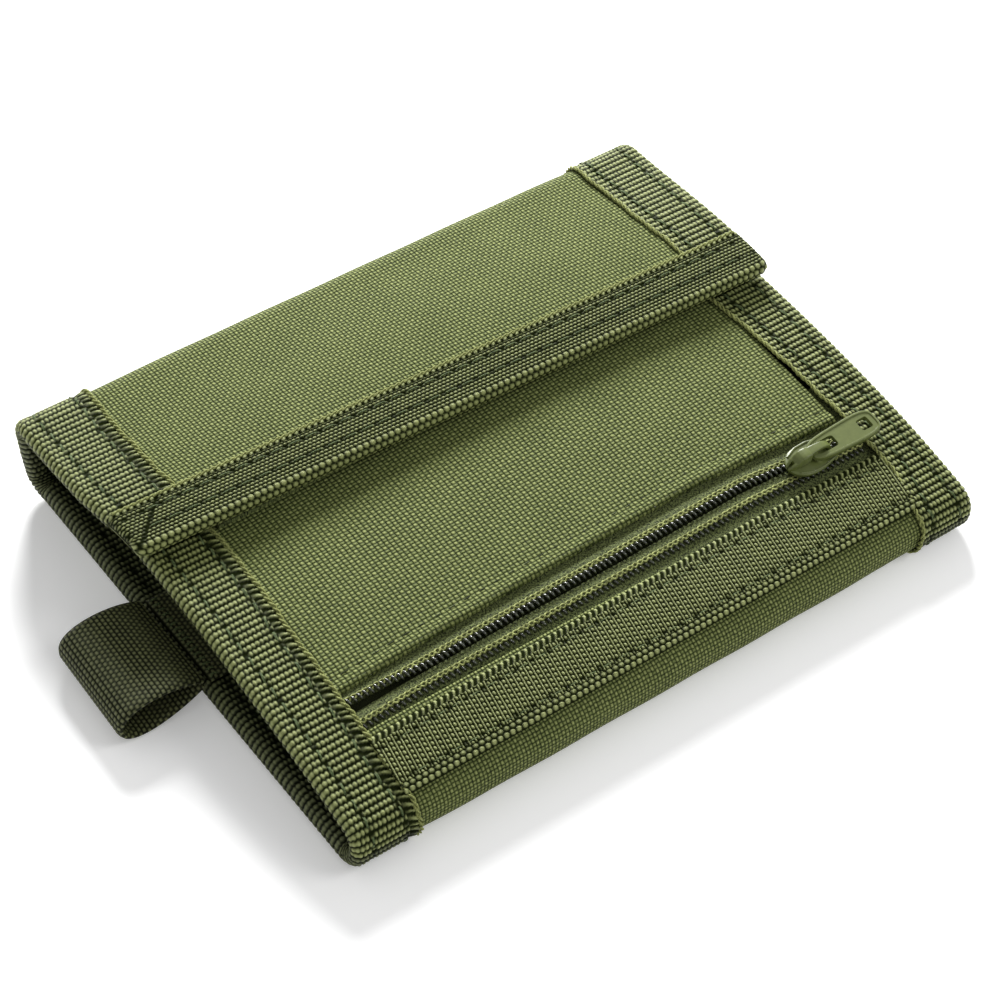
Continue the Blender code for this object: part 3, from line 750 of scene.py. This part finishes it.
def make_bindings():
    for segment in BINDING_SPANS:
        for word, side in (("left", -1), ("right", 1)):
            nodes = [f"{n}_binding_{word}" for n in BINDING_NODES[segment]]
            make_binding_leg(f"{segment}_tape_{word}", side, segment, "outer", nodes)
            make_binding_leg(f"{segment}_tape_inside_{word}", side, segment, "inner", [])
            selvedge(f"{segment}_selvedge_{word}", side, segment)
        binding_stitches(f"{segment}_binding_stitches", segment)


# ---- bindings of the two free edges ----

EDGE_ROWS = (2.2, 0.2), (5.6, 0.6)  # distance from the tape's sewn edge, and the stitches' phase
EDGE_FLAT = EDGE_BINDING - 0.4
EDGE_RAISED = 0.38
EDGE_CORNER = 2.2
EDGE_BARE = 4  # from each end of the tape to its first stitch


def edge_tape_relief(t, x, width):
    """Fine ribs along x, with two rows of large beads where the tape turns over the edge."""
    row = t / 0.66
    fine = bead(x / 0.82 + 0.5 * (np.floor(row) % 2) + 0.1 * row, row, 0.5, 0.4) * 0.9
    big_row = (t - width) / 1.2
    big = bead(x / 1.22 + 0.5 * (np.floor(big_row) % 2), big_row, 0.5, 0.52)
    loops = bead(x / 1.22 + 0.3 * t, t / 1.0, 0.36, 0.5) * 0.9
    relief = np.where(t > width - 1.2, big, fine)
    return np.where(t < 1.0, loops, relief)


def edge_tape(name, s_of_lead):
    """Tape folded round a free edge; its two corners are rounded off like the bound sides."""
    radius = THIN_EDGE / 2
    flat = EDGE_FLAT
    x = np.linspace(-HALF_WIDTH, HALF_WIDTH, 900)[:, None]
    outer_t = np.linspace(0, flat, 58)
    turn = np.linspace(0, pi, 17)[1:-1]
    under_t = np.linspace(0, flat, 10)
    lead = np.concatenate([outer_t, flat + radius * np.sin(turn), flat - under_t])
    n_lead = np.concatenate([outer_t * 0, np.sin(turn), under_t * 0])
    n_height = np.concatenate([outer_t * 0 + 1, np.cos(turn), under_t * 0 - 1])
    height = radius * (n_height - 1)
    run = np.concatenate([outer_t, flat + radius * turn, flat + radius * pi + under_t])
    t = run[None, :] + x * 0
    relief = edge_tape_relief(t, x, flat + 1.2)
    relief = np.where(t > flat + radius * pi, 0.4 + 0.4 * hump(x / 1.22), relief)
    for (distance, phase), depth in zip(EDGE_ROWS, (0.9, 0.63)):
        relief = relief - depth * stitch_dents(t - distance, x, phase)
    mitre = np.exp(-(((HALF_WIDTH + x) - (flat + radius - t)) / 0.4) ** 2) * (t < flat + 1.2)
    relief = np.clip(relief - 0.8 * mitre, -0.3, 1)
    lift = 0.28 * relief - 0.1
    pick = np.r_[len(run) - 1, np.arange(len(run) - 4, 0, -4), 0]
    back_lead = (lead - n_lead * TAPE)[None, pick] + x * 0
    back_height = (height - n_height * TAPE)[None, pick] + x * 0
    ring_lead = np.concatenate([lead + n_lead * lift, back_lead], 1)
    ring_h = np.concatenate([height + n_height * lift, back_height], 1)
    ring_x = x + ring_lead * 0
    over = np.clip(np.abs(ring_x) - (HALF_WIDTH - radius), 0, radius)
    drop = radius - np.sqrt(np.clip(radius**2 - over**2, 0, None))
    ring_h = -radius + (ring_h + radius) * (1 - 0.85 * drop / radius)
    corner = np.clip(np.abs(ring_x) - (HALF_WIDTH - EDGE_CORNER), 0, EDGE_CORNER)
    pulled = 0.55 * (EDGE_CORNER - np.sqrt(np.clip(EDGE_CORNER**2 - corner**2, 0, None)))
    ring_lead = np.where(ring_lead > flat - 1, ring_lead - pulled, ring_lead)
    s = s_of_lead(ring_lead)
    tone = np.concatenate([np.clip(relief, 0, 1), back_height * 0 + 0.3], 1)
    batch = Batch()
    batch.add(place(ring_x, s, ring_h + EDGE_RAISED), tone, np.stack([ring_x, s, ring_h], -1))
    return batch.make(name, BINDING)


def edge_yarn(name, s_of_lead):
    batch = Batch()
    x = np.arange(-HALF_WIDTH + 1, HALF_WIDTH - 1, 0.15)
    for k in range(2):
        phase = 2 * pi * (x / YARN_TWIST + k / 2)
        s = s_of_lead(0.05 + 0.17 * np.cos(phase))
        line = place(x, s, EDGE_RAISED + 0.02 + 0.14 * np.sin(phase))
        strip = np.broadcast_arrays(x[:, None] * 2, phase[:, None] + np.arange(6), s[:, None])
        batch.add(cord_rings(line, 0.17, 6), None, np.stack(strip, -1))
    return batch.make(name, SELVEDGE)


def make_edge_binding(name, at_start, body, node):
    def s_of_lead(lead):
        return EDGE_FLAT - lead if at_start else S_END - EDGE_FLAT + lead

    settle(edge_tape(name, s_of_lead), body, "binding_tape", node)
    settle(edge_yarn(f"{name}_selvedge", s_of_lead), body, "binding_tape")
    ends = EDGE_BARE - HALF_WIDTH, HALF_WIDTH - EDGE_BARE - THREAD_RUN
    sewn = Batch()
    for distance, phase in EDGE_ROWS:
        s = s_of_lead(distance)
        sewn_row(sewn, range(-19, 20), phase, ends, lambda _: s, EDGE_RAISED + 0.14, 0.42)
    settle(sewn.make(f"{name}_stitches", THREAD), body, "binding_tape")


# ---- webbing strip ----

WEBBING_RIB = 1.2
WEBBING_ROWS = (2.4, 0.1), (-2.5, 0.5)  # from the top and bottom edges, and the stitches' phase


def webbing_edges(x):
    """Strip coordinates of the webbing's two long edges."""
    top = np.interp(x, [-52, -40, -8, 26, 53], [-33.2, -32.9, -32.2, -31.5, -31.9])
    low = np.interp(x, [-52, 0, 53], [-44.2, -43.9, -43.7])
    return s_on_panel(top), s_on_panel(low)


def webbing_relief(x, s, d_top, d_low):
    """Columns of beads and of cords by turns, whipped along the top and beaded along the bottom."""
    column = 1.66 * x + 0.19 * s
    beads = bead(column, 1.05 * s - 0.41 * x, 0.52, 0.47)
    cords = hump(column, 0.3) * (0.72 + 0.28 * hump(2.1 * s - 0.41 * x, 0.5))
    body = np.where(np.floor(column) % 2 == 0, beads, cords)
    whipped = hump(x / WEBBING_RIB - 0.5 * smooth(d_top, 1.6, 0.2), 0.26)
    whipped = whipped * (0.6 + 0.4 * smooth(d_top, 1.3, 0.3))
    relief = np.where(d_top < 1.3, whipped, body)
    row = d_low / 0.95
    beads = bead(x / WEBBING_RIB + 0.5 * (np.floor(row) % 2), row, 0.46, 0.48)
    relief = np.where(d_low < 1.9, beads * np.where(d_low < 0.95, 1.0, 0.8), relief)
    for distance, (inset, phase) in zip((d_top, d_low), WEBBING_ROWS):
        relief = relief - 0.7 * stitch_dents(distance - abs(inset), x, phase)
    return np.clip(relief, -0.3, 1)


def make_webbing():
    """Heavy webbing sewn across the panel below the zip."""
    x = np.linspace(-52.4, 53.6, 800)[None, :]
    s_top, s_low = webbing_edges(x)
    s = s_top + (s_low - s_top) * np.linspace(0, 1, 92)[:, None]
    relief = webbing_relief(x, s, s - s_top, s_low - s)
    edge = 1 - smooth(s_low - s, 0.7, 0) * 0.6 - smooth(s - s_top, 0.5, 0) * 0.5
    top = (0.35 + 0.3 * relief) * edge + 0.05
    xs = np.broadcast_to(x, s.shape)
    tones = [np.clip(relief, 0, 1), relief * 0 + 0.2]
    strip = np.stack([xs, s, top], -1)
    band = closed_sheet("webbing_band", place(xs, s, top), place(xs, s, -0.35), tones, strip, WEBBING)
    settle(band, "zip_panel", "webbing", "webbing_strip")

    sewn = Batch()
    for side, (inset, phase) in enumerate(WEBBING_ROWS):
        sewn_row(sewn, range(-16, 17), phase, (-50, 49), lambda x: webbing_edges(x)[side] + inset, 0.52, 0.4)
    settle(sewn.make("webbing_stitches", THREAD), "zip_panel", "webbing")


# ---- zip ----

ZIP_X = np.linspace(-53.5, 55.0, 420)
COIL_TURNS, COIL_PITCH, COIL_START = 98, 1.08, -52.5


def upper_row(x):
    return np.interp(x, [-53, -39, -7, 30, 38, 53], [-25.4, -25.5, -24.6, -23.8, -24.6, -25.8])


def lower_row(x):
    return np.interp(x, [-53, -41, -10, 29, 38, 53], [-29.8, -29.3, -28.7, -27.8, -28.2, -28.6])


def zip_tape(name, near, far, node):
    x = ZIP_X[None, :]
    y = near + (far - near) * np.linspace(0, 1, 40)[:, None]
    s = s_on_panel(y)
    fuzz = 0.16 * (rng.random(s.shape) - 0.5)
    crown = 0.5 * np.exp(-((np.abs(y - near) - 1.4) / 1.2) ** 2)
    top = -1.25 + fuzz + crown
    sheet = cloth_sheet(name, x, s, top, top - 0.4, ZIP_TAPE)
    settle(sheet, "zip_panel", "zip_tape", node)


def zip_coil(name, row, node, height, reach, wide, end_share):
    """The nylon coil, tucked in at its left end, and the two chain-stitched rows that hold it."""
    u = np.linspace(0, COIL_TURNS, COIL_TURNS * 14)
    x = COIL_START + u * COIL_PITCH
    y = row(x) - reach * np.interp(x, [-44, -36], [end_share, 1.0]) + wide * np.cos(2 * pi * u)
    batch = Batch()
    batch.add(cord_rings(place(x, s_on_panel(y), height + 0.38 * np.sin(2 * pi * u)), 0.24, 7))
    settle(batch.make(name, COIL), "zip_panel", "zip_coil", node)
    chain = Batch()
    u = np.linspace(0, COIL_TURNS, COIL_TURNS * 9)
    x = COIL_START + u * COIL_PITCH
    for sign in (-1, 1):
        y = row(x) + sign * (0.06 + 0.3 * np.abs(np.sin(pi * u)))
        chain.add(cord_rings(place(x, s_on_panel(y), -0.5 + 0.08 * np.cos(2 * pi * u)), 0.17, 6))
    settle(chain.make(f"{name}_stitches", SELVEDGE), "zip_panel", "zip_tape")


def make_zip():
    far = ZIP_Y - 0.3
    top_near = np.maximum(upper_row(ZIP_X) - 0.7, ZIP_Y + 0.6)
    zip_tape("zip_tape_top", top_near, far + 13.0, "zip_tape_upper")
    zip_tape("zip_tape_bottom", lower_row(ZIP_X) + 2.05, far - 13.0, "zip_tape_lower")
    zip_coil("zip_coil_top", upper_row, "zip_coil_upper", -0.62, 1.15, 0.52, 0.36)
    zip_coil("zip_coil_bottom", lower_row, "zip_coil_lower", -1.12, 0.8, 0.45, 1.0)


def make_topstitch():
    """The row that holds the cloth's folded edge to the zip tape: dark threads in a groove."""
    batch = Batch()
    t = np.linspace(0, 1, 7)
    for k in range(-17, 17):
        x = k * 3.1 + 2.2 * t
        s = zip_fabric_edge(x) - TOPSTITCH_IN
        batch.add(cord_rings(place(x, s, cover_height(x, s) - 0.08 - dip(t, 0.3)), 0.1, 6))
    settle(batch.make("zip_topstitch", DARK_THREAD), "zip_panel", "shell_cloth")


# ---- side loop ----


def path_frame(points):
    """Even spacing along a line in XZ: position, outward normal and distance."""
    gaps = np.linalg.norm(np.diff(points, axis=0), axis=1)
    total = np.r_[0, np.cumsum(gaps)]
    d = np.arange(0, total[-1], 0.2)
    line = np.c_[np.interp(d, total, points[:, 0]), np.interp(d, total, points[:, 1])]
    step = np.gradient(line, axis=0)
    step /= np.linalg.norm(step, axis=1)[:, None]
    return line, np.c_[-step[:, 1], step[:, 0]], d


def loop_relief(along, across):
    """Fine ribs of small beads that run across the loop's webbing."""
    row = along / 0.78
    stagger = 0.5 * (np.floor(row) % 2)
    beads = hump(across / 0.92 + stagger, 0.43)
    return hump(row, 0.45) * (0.25 + 0.75 * beads)


def webbing_sheet(name, points, body, node, bow=0.0):
    """Webbing carried along an XZ line and woven on both faces; a bow skews its middle along x."""
    line, normal, d = path_frame(points)
    y = np.arange(LOOP_NEAR_Y, LOOP_FAR_Y + 0.01, 0.2)[None, :]
    d = d[:, None]
    relief = loop_relief(d, y)
    rim = smooth(np.minimum(y - y[0, 0], y[0, -1] - y), 0.0, 0.8)
    lift = LOOP_HALF_THICK * (0.45 + 0.55 * rim) + 0.16 * relief * rim
    shift = bow * (y - y.mean()) * np.sin(np.linspace(0, pi, len(d)))[:, None]
    faces = []
    for sign in (1, -1):
        px = line[:, 0:1] + normal[:, 0:1] * sign * lift + shift
        pz = line[:, 1:2] + normal[:, 1:2] * sign * lift
        faces.append(np.stack([px, np.broadcast_to(y, px.shape), pz], -1))
    strip = np.stack(np.broadcast_arrays(d, y, 0.0), -1)
    # the loop's webbing takes the darker copy, painted shade
    obj = closed_sheet(name, *faces, [relief, relief[:, ::-1]], strip, SHADED_WEBBING)
    settle(obj, body, "webbing", node)


def make_side_loop():
    root_x, root_z = LOOP_ROOT
    upper = bezier((root_x, root_z + 0.55), (-69.0, 8.6), (-79.2, 8.4), (-79.0, 3.4))
    lower = bezier((-79.0, 3.4), (-78.6, -0.9), (-70.5, 0.0), (root_x, root_z - 0.55))
    webbing_sheet("loop_webbing", np.concatenate([upper, lower[1:]]), "side_loop", "side_loop", 0.02)
    tail = np.array([(-62.7, 4.75), (-58.0, 4.8), (-53.0, 4.75)])
    webbing_sheet("loop_tail", tail, "back_panel", "side_loop_tail")
    batch = Batch()
    t = np.linspace(0, 1, 6)
    for k in range(16):
        for slant in (1, -1):
            y = LOOP_NEAR_Y + 0.8 + k * 1.25 + slant * 0.62 * (t - 0.5)
            x = -61.6 + 1.7 * (t - 0.5) + rng.normal(0, 0.06)
            batch.add(cord_rings(np.c_[x, y, 5.42 - dip(t, 0.5)], 0.1, 5))
    settle(batch.make("loop_tack_stitches", THREAD), "back_panel", "binding_tape")


# ---- slider and pull ----


ZIP_S = float(s_on_panel(ZIP_Y))
ZIP_ORIGIN = np.array([np.interp(ZIP_S, S, PATH[:, 0]), np.interp(ZIP_S, S, PATH[:, 1])])
ZIP_WAY = -np.array([np.interp(ZIP_S, S, way[:, 0]), np.interp(ZIP_S, S, way[:, 1])])
ZIP_UP = np.array([-ZIP_WAY[1], ZIP_WAY[0]])
SHARP_FROM = radians(38)
PULL_DROOP = radians(-1)
PULL_HALF_THICK = 0.5


def zip_point(x, u, h):
    """Slider coordinates to the row frame: u over the panel towards the flap, h above its skin."""
    x, u, h = np.broadcast_arrays(*(np.asarray(v, float) for v in (x, u, h)))
    y = ZIP_ORIGIN[0] + ZIP_WAY[0] * u + ZIP_UP[0] * h
    z = ZIP_ORIGIN[1] + ZIP_WAY[1] * u + ZIP_UP[1] * h
    return np.stack([x, y, z], -1)


def smooth_outline(points):
    """A closed Catmull-Rom curve through the points."""
    p = np.asarray(points, float)
    t = np.linspace(0, 1, 6, endpoint=False)[:, None]
    out = []
    for i in range(len(p)):
        a, b, c, e = p[i - 1], p[i], p[(i + 1) % len(p)], p[(i + 2) % len(p)]
        square, cube = 2 * a - 5 * b + 4 * c - e, 3 * b - a - 3 * c + e
        out.append(0.5 * (2 * b + (c - a) * t + square * t**2 + cube * t**3))
    return np.concatenate(out)


def shrink(outline, by):
    """A closed outline moved in towards its middle."""
    gap = np.roll(outline, -1, 0) - np.roll(outline, 1, 0)
    inward = np.c_[-gap[:, 1], gap[:, 0]]
    inward /= np.linalg.norm(inward, axis=1)[:, None] + 1e-9
    inward *= np.sign((inward * (outline.mean(0) - outline)).sum(1))[:, None]
    return outline + inward * by


def plate_rings(outline, levels):
    """Rings of an (x, u) outline at several (height, inset) levels."""
    return np.array([zip_point(*shrink(outline, inset).T, h) for h, inset in levels])


def squared(count, power, start):
    """Cosines and sines round a circle, pushed out towards a square by a low power."""
    a = np.linspace(0, 2 * pi, count, endpoint=False) + start
    return [np.sign(v) * np.abs(v) ** power for v in (np.cos(a), np.sin(a))]


def block_rings(x_start, x_end, centre, half, floor, top, steps=22):
    """A block with rounded edges along x; each size is a table of values spread over its length."""
    share = np.linspace(0, 1, steps)
    sizes = [np.interp(share, np.linspace(0, 1, len(v)), v) for v in (centre, half, floor, top)]
    across, upright = squared(28, 0.28, 0.01)
    rings = []
    for part, c, wide, low, high in zip(share, *sizes):
        h = (low + high) / 2 + (high - low) / 2 * upright
        rings.append(zip_point(x_start + (x_end - x_start) * part, c + wide * across, h))
    return np.array(rings)


def make_slider():
    x0 = SLIDER_X
    one_side = [(-4.1, 1.6), (-2.4, 2.8), (0.6, 3.1), (3.4, 2.5), (4.7, 2.0)]
    right = [(x0 + x, -u) for x, u in one_side]
    left = [(x0 + x, u) for x, u in one_side[::-1]]
    boat = smooth_outline([(x0 - 4.7, 0.0), *right, (x0 + 4.8, 0.0), *left])
    batch = Batch()
    upper = [(0.2, 0.35), (0.3, 0.1), (0.55, 0.0), (0.85, 0.02), (1.02, 0.2), (1.05, 0.45)]
    batch.add(plate_rings(boat, upper))
    low = THIN_EDGE - 0.35
    lower = [(-0.3, 0.4), (-0.25, 0.1), (0.2, 0.05), (0.3, 0.3)]
    batch.add(plate_rings(boat, [(h - low, inset) for h, inset in lower]))
    neck = [(-4.3, 0), (-3.6, -0.22), (-1.8, -0.22), (-1.2, 0), (-1.8, 0.22), (-3.6, 0.22)]
    batch.add(plate_rings(smooth_outline([(x0 + x, u) for x, u in neck]), [(-low, 0.0), (0.6, 0.0)]))
    for side in (-1, 1):
        x = np.linspace(x0 - 3.4, x0 + 4.4, 26)
        u = side * np.interp(x, [x0 - 3.4, x0 - 1.2, x0 + 1.2, x0 + 4.4], [1.9, 2.75, 2.85, 2.1])
        batch.add(cord_rings(zip_point(x, u, 1.02 + 0 * x), 0.22, 8))

    crown_half, crown_top = [0.9, 1.03, 1.08, 1.08, 1.05], [2.2, 2.9, 3.3, 3.45, 3.45, 3.35]
    batch.add(block_rings(x0 - 3.7, x0 - 0.6, [0], crown_half, [0.9], crown_top))
    for side in (-1, 1):
        prong = [0.3 * side, 0.5 * side, 0.62 * side, 0.66 * side]
        prong_half, prong_top = [0.14, 0.24, 0.3, 0.34], [1.1, 1.7, 2.15, 2.45]
        batch.add(block_rings(x0 - 4.9, x0 - 3.4, prong, prong_half, [0.8], prong_top))
    tongue_half = [0.85, 0.78, 0.7, 0.66, 0.62, 0.55]
    tongue_top = [3.3, 3.36, 3.4, 3.4, 3.36, 3.1, 2.6, 1.8]
    tongue_floor = [2.6, 2.65, 2.7, 2.7, 2.65, 2.3, 1.5, 0.9]
    batch.add(block_rings(x0 - 0.9, x0 + 4.3, [0], tongue_half, tongue_floor, tongue_top, 34))
    obj = batch.make("slider_body", PAINTED)
    obj.data.set_sharp_from_angle(angle=SHARP_FROM)
    settle(obj, "zip_slider", "painted_zip_metal", "zip_slider")


def pull_outline(x_low, x_high, half_low, half_high, power):
    """A rounded oblong along the pull whose half width changes from one end to the other."""
    c, v = squared(88, power, 1e-4)
    x = (x_low + x_high) / 2 + (x_high - x_low) / 2 * c
    half = half_low + (half_high - half_low) * (x - x_low) / (x_high - x_low)
    return np.c_[x, half * v]


def pull_point(x, u, h):
    along = x * cos(PULL_DROOP) + h * sin(PULL_DROOP)
    rise = h * cos(PULL_DROOP) - x * sin(PULL_DROOP)
    return zip_point(PIVOT_X + along, u, PIVOT_H + rise)


def make_pull():
    """A flat tab with a raised rim and two windows through it."""
    face = PULL_HALF_THICK - 0.16
    bm = bmesh.new()

    def add_loop(ring, h):
        return [bm.verts.new([c * 0.001 for c in pull_point(x, u, h)]) for x, u in ring]

    def pairs(loop):
        return zip(loop, loop[1:] + loop[:1])

    def bridge(a, b):
        for (a0, a1), (b0, b1) in zip(pairs(a), pairs(b)):
            bm.faces.new((a0, a1, b1, b0))

    outer = pull_outline(-0.7, 13.9, 2.25, 2.85, 0.52)
    profile = [(-PULL_HALF_THICK, 0.18), (-face, 0.0), (face, 0.0)]
    profile += [(PULL_HALF_THICK, 0.18), (PULL_HALF_THICK, 0.42), (face, 0.52)]
    rows = [add_loop(shrink(outer, inset), h) for h, inset in profile]
    for a, b in zip(rows, rows[1:]):
        bridge(a, b)
    tops, lows = [rows[-1]], [rows[0]]
    for window in ((0.45, 4.9, 1.15, 1.2, 0.35), (10.2, 12.5, 1.15, 1.2, 0.3)):
        ring = pull_outline(*window)
        tops.append(add_loop(ring, face))
        lows.append(add_loop(ring, -PULL_HALF_THICK))
        bridge(tops[-1], lows[-1])
    for loops in (tops, lows):
        edges = [bm.edges.get(pair) for loop in loops for pair in pairs(loop)]
        bmesh.ops.triangle_fill(bm, use_beauty=True, edges=edges)
    bmesh.ops.recalc_face_normals(bm, faces=bm.faces)
    mesh = bpy.data.meshes.new("pull_tab")
    bm.to_mesh(mesh)
    bm.free()
    mesh.materials.append(PAINTED)
    mesh.polygons.foreach_set("use_smooth", np.ones(len(mesh.polygons), bool))
    mesh.set_sharp_from_angle(angle=SHARP_FROM)
    settle(link_object("pull_tab", mesh), "zip_pull", "painted_zip_metal", "zip_pull")


# ---- inside: linings, pockets, window, hook and loop ----

INSIDE_HALF = 51.0
LINING_THICK = 0.4
POCKET_MOUTH_Y, POCKET_STEP, POCKET_LAYER = 26.0, 11.0, 0.7
HOOK_ROW, HOOK_PITCH = 1.15, 1.19


def lining_sheet(name, segment, start, end, depth, *nodes):
    x, s = sheet_grid(INSIDE_HALF, 60, start, end, 50)
    top = -depth + 0.07 * np.sin(x / 4.7 + s / 6) * np.sin(s / 3.9)
    sheet = cloth_sheet(name, x, s, top, top - LINING_THICK, LINING)
    bend(sheet, segment, depth, "lining", *nodes)


def hem(name, x_half, s, h, body, radius):
    """A rolled, piped hem along x."""
    x = np.arange(-x_half, x_half, 0.4)
    line = place(x, s, h)
    batch = Batch()
    strip = np.stack(np.broadcast_arrays(x[:, None], np.arange(9) * 0.3, 0.0), -1)
    batch.add(cord_rings(line, radius + 0.03 * np.sin(x * 2.6), 9), None, strip)
    settle(batch.make(name, LINING), body, "lining")


def make_card_pockets():
    for i, word in enumerate(("rear", "middle", "front")):
        depth = 3.5 + POCKET_LAYER * i
        start, end = S_BOTTOM + 6.9, S_BOTTOM + (POCKET_MOUTH_Y - i * POCKET_STEP - FRONT_Y)
        x, s = sheet_grid(INSIDE_HALF, 60, start, end, 40)
        swell = 0.22 * smooth(s, start, end) * (1 - (x / INSIDE_HALF) ** 4)
        low = -depth - LINING_THICK - swell * 0.5
        pocket = cloth_sheet(f"card_pocket_cloth_{word}", x, s, low + LINING_THICK, low, LINING)
        settle(pocket, "back_panel", "lining", f"card_pocket_{word}")
        hem(f"card_pocket_hem_{word}", 50.5, end, -depth - 0.3, "back_panel", 0.36)


def make_inside():
    lining_sheet("lining_front", "front", CUT_FRONT, CUT_BOTTOM, 2.85, "front_fold_lining")
    back_nodes = "bill_pocket_lining", "back_fold_lining"
    lining_sheet("lining_back", "back", CUT_BOTTOM, CUT_BACK, 2.85, *back_nodes)
    lining_sheet("lining_flap", "flap", CUT_BACK, S_END - 2.5, 1.9, "flap_lining")
    make_card_pockets()
    start, end = panel_span(30.0, -38.0)
    x, s = sheet_grid(INSIDE_HALF, 60, start, end, 50)
    top = -3.3 + 0.08 * np.sin(x / 9) * np.sin(s / 7)
    wall = cloth_sheet("coin_pocket_wall", x, s, top, top - LINING_THICK, LINING)
    settle(wall, "zip_panel", "lining", "coin_pocket_lining")
    start, end = panel_span(24.0, -25.0)
    x, s = sheet_grid(42.0, 50, start, end, 30)
    top = -4.05 + 0.1 * np.sin(x / 7 + 1) * np.sin(s / 6)
    window = cloth_sheet("id_window_film", x, s, top, top - 0.25, CLEAR)
    settle(window, "zip_panel", "clear_window", "id_window")
    make_window_frame()
    make_hook_tape()
    make_loop_pile()


def frame_corners(half, near_y, far_y):
    s0, s1 = panel_span(near_y, far_y)
    return np.array([(-half, s0), (half, s0), (half, s1), (-half, s1)])


def make_window_frame():
    """Flat binding round the window: four mitred strips of narrow tape."""
    batch = Batch()
    outside, inside = frame_corners(48, 28.0, -29.0), frame_corners(38, 21.0, -22.0)
    along = np.linspace(0.004, 0.996, 60)[:, None]
    v = np.linspace(0, 1, 41)[None, :]
    for k in range(4):
        outer, inner = (c[k] + (c[(k + 1) % 4] - c[k]) * along for c in (outside, inside))
        grid = outer[:, None, :] + (inner - outer)[:, None, :] * v[..., None]
        x, s = grid[..., 0], grid[..., 1]
        relief = hump(v * 8 + 0 * x, 0.45)
        rim = smooth(np.minimum(v, 1 - v), 0, 0.12)
        under = place(x, s, -4.85 - 0.12 * rim - 0.12 * relief * rim)
        rings = np.concatenate([place(x, s, -4.6), under[:, ::-1]], 1)
        tone = np.concatenate([relief * 0 + 0.3, relief[:, ::-1]], 1)
        strip = np.stack([x, s, 0 * x], -1)
        batch.add(rings, tone, np.concatenate([strip, strip[:, ::-1]], 1))
    # the frame takes the darker copy of the binding, the one painted with shade
    settle(batch.make("id_window_binding", SHADED_BINDING), "zip_panel", "lining", "id_window_frame")


def flap_s(y):
    inside = S >= S_FLAP
    return float(np.interp(-y, -PATH[inside, 0], S[inside]))


def make_hook_tape():
    start, end = flap_s(31.0), flap_s(21.5)
    x, s = sheet_grid(50, 120, start, end, 14)
    settle(cloth_sheet("hook_tape_ground", x, s, -2.45, -2.7, DARK_THREAD), "flap", "hook_tape")
    hooks = Batch()
    t = np.linspace(0, 1, 6)
    for i in range(int((end - start) / HOOK_ROW)):
        for k in range(84):
            hook_x = -49.3 + k * HOOK_PITCH + 0.3 * (i % 2)
            hook_s = start + 0.8 + i * HOOK_ROW
            lean = 0.28 * np.sin(t * pi * 0.9) * (1 if k % 2 else -1)
            h = -2.66 - 0.5 * np.sin(t * pi * 0.62)
            line = place(hook_x + lean, hook_s + 0.3 * (1 - np.cos(t * 2.2)), h)
            hooks.add(cord_rings(line, 0.08, 4))
    settle(hooks.make("hook_tape_hooks", HOOKS), "flap", "hook_tape", "flap_hook_tape")


def make_loop_pile():
    start, end = panel_span(PANEL_FAR[0] - EDGE_BINDING - 0.6, 13.5)
    x, s = sheet_grid(50, 330, start, end, 36)
    top = 0.18 + rng.random(s.shape) * 0.28
    pile = cloth_sheet("loop_pile_tape", x, s, top, -0.25, ZIP_TAPE)
    settle(pile, "zip_panel", "loop_pile", "panel_loop_tape")


def dress_cad_nodes():
    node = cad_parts["back_stiffener"]
    node.data.materials.clear()
    node.data.materials.append(board_material())


# ---- stage, light and camera ----


def make_stage():
    bpy.ops.mesh.primitive_plane_add(size=6, location=(0, 0, -0.0003))
    floor = bpy.context.object
    floor.name = "floor"
    material, _, shader = new_material("pale_floor", 0.9, specular=0.1)
    shader.inputs["Base Color"].default_value = (0.93, 0.93, 0.93, 1)
    shader.inputs["Emission Color"].default_value = (1, 1, 1, 1)
    shader.inputs["Emission Strength"].default_value = 0.22
    floor.data.materials.append(material)


def add_area(name, place_at, look_at, size, power):
    data = bpy.data.lights.new(name, "AREA")
    data.shape = "DISK"
    data.size = size
    data.energy = power
    light = link_object(name, data)
    light.location = place_at
    light.rotation_mode = "QUATERNION"
    light.rotation_quaternion = (Vector(look_at) - Vector(place_at)).to_track_quat("-Z", "Y")


def make_light():
    world = bpy.data.worlds.new("studio")
    bpy.context.scene.world = world
    world.use_nodes = True
    background = world.node_tree.nodes["Background"]
    background.inputs["Color"].default_value = (1, 1, 1, 1)
    background.inputs["Strength"].default_value = 0.5
    add_area("key", (0.34, 0.56, 0.37), (0, 0, 0), 0.3, 13.0)
    add_area("fill", (0.5, -0.45, 0.6), (0, 0, 0), 0.4, 2.0)


def make_camera():
    azimuth, elevation, roll = radians(-37.42), radians(47.37), radians(2.16)
    target, distance = Vector((-0.0034, -0.00156, 0.008)), 0.4575
    back = Vector((sin(azimuth) * cos(elevation), -cos(azimuth) * cos(elevation), sin(elevation)))
    right = Vector((cos(azimuth), sin(azimuth), 0))
    up = back.cross(right)
    turned_right = right * cos(roll) + up * sin(roll)
    turned_up = up * cos(roll) - right * sin(roll)
    data = bpy.data.cameras.new("camera")
    data.lens = 97.8
    data.sensor_width = 36
    data.clip_start, data.clip_end = 0.01, 10
    camera = link_object("camera", data)
    camera.rotation_mode = "QUATERNION"
    camera.rotation_quaternion = Matrix((turned_right, turned_up, back)).transposed().to_quaternion()
    camera.location = target + back * distance
    bpy.context.scene.camera = camera


make_camera()
make_stage()
make_light()
bpy.context.scene.view_settings.view_transform = "Standard"
make_covers()
make_bindings()
make_edge_binding("flap_edge_tape", False, "flap", "flap_edge_binding")
make_edge_binding("panel_edge_tape", True, "zip_panel", "zip_panel_edge_binding")
make_webbing()
make_zip()
make_topstitch()
make_side_loop()
make_slider()
make_pull()
make_inside()
dress_cad_nodes()
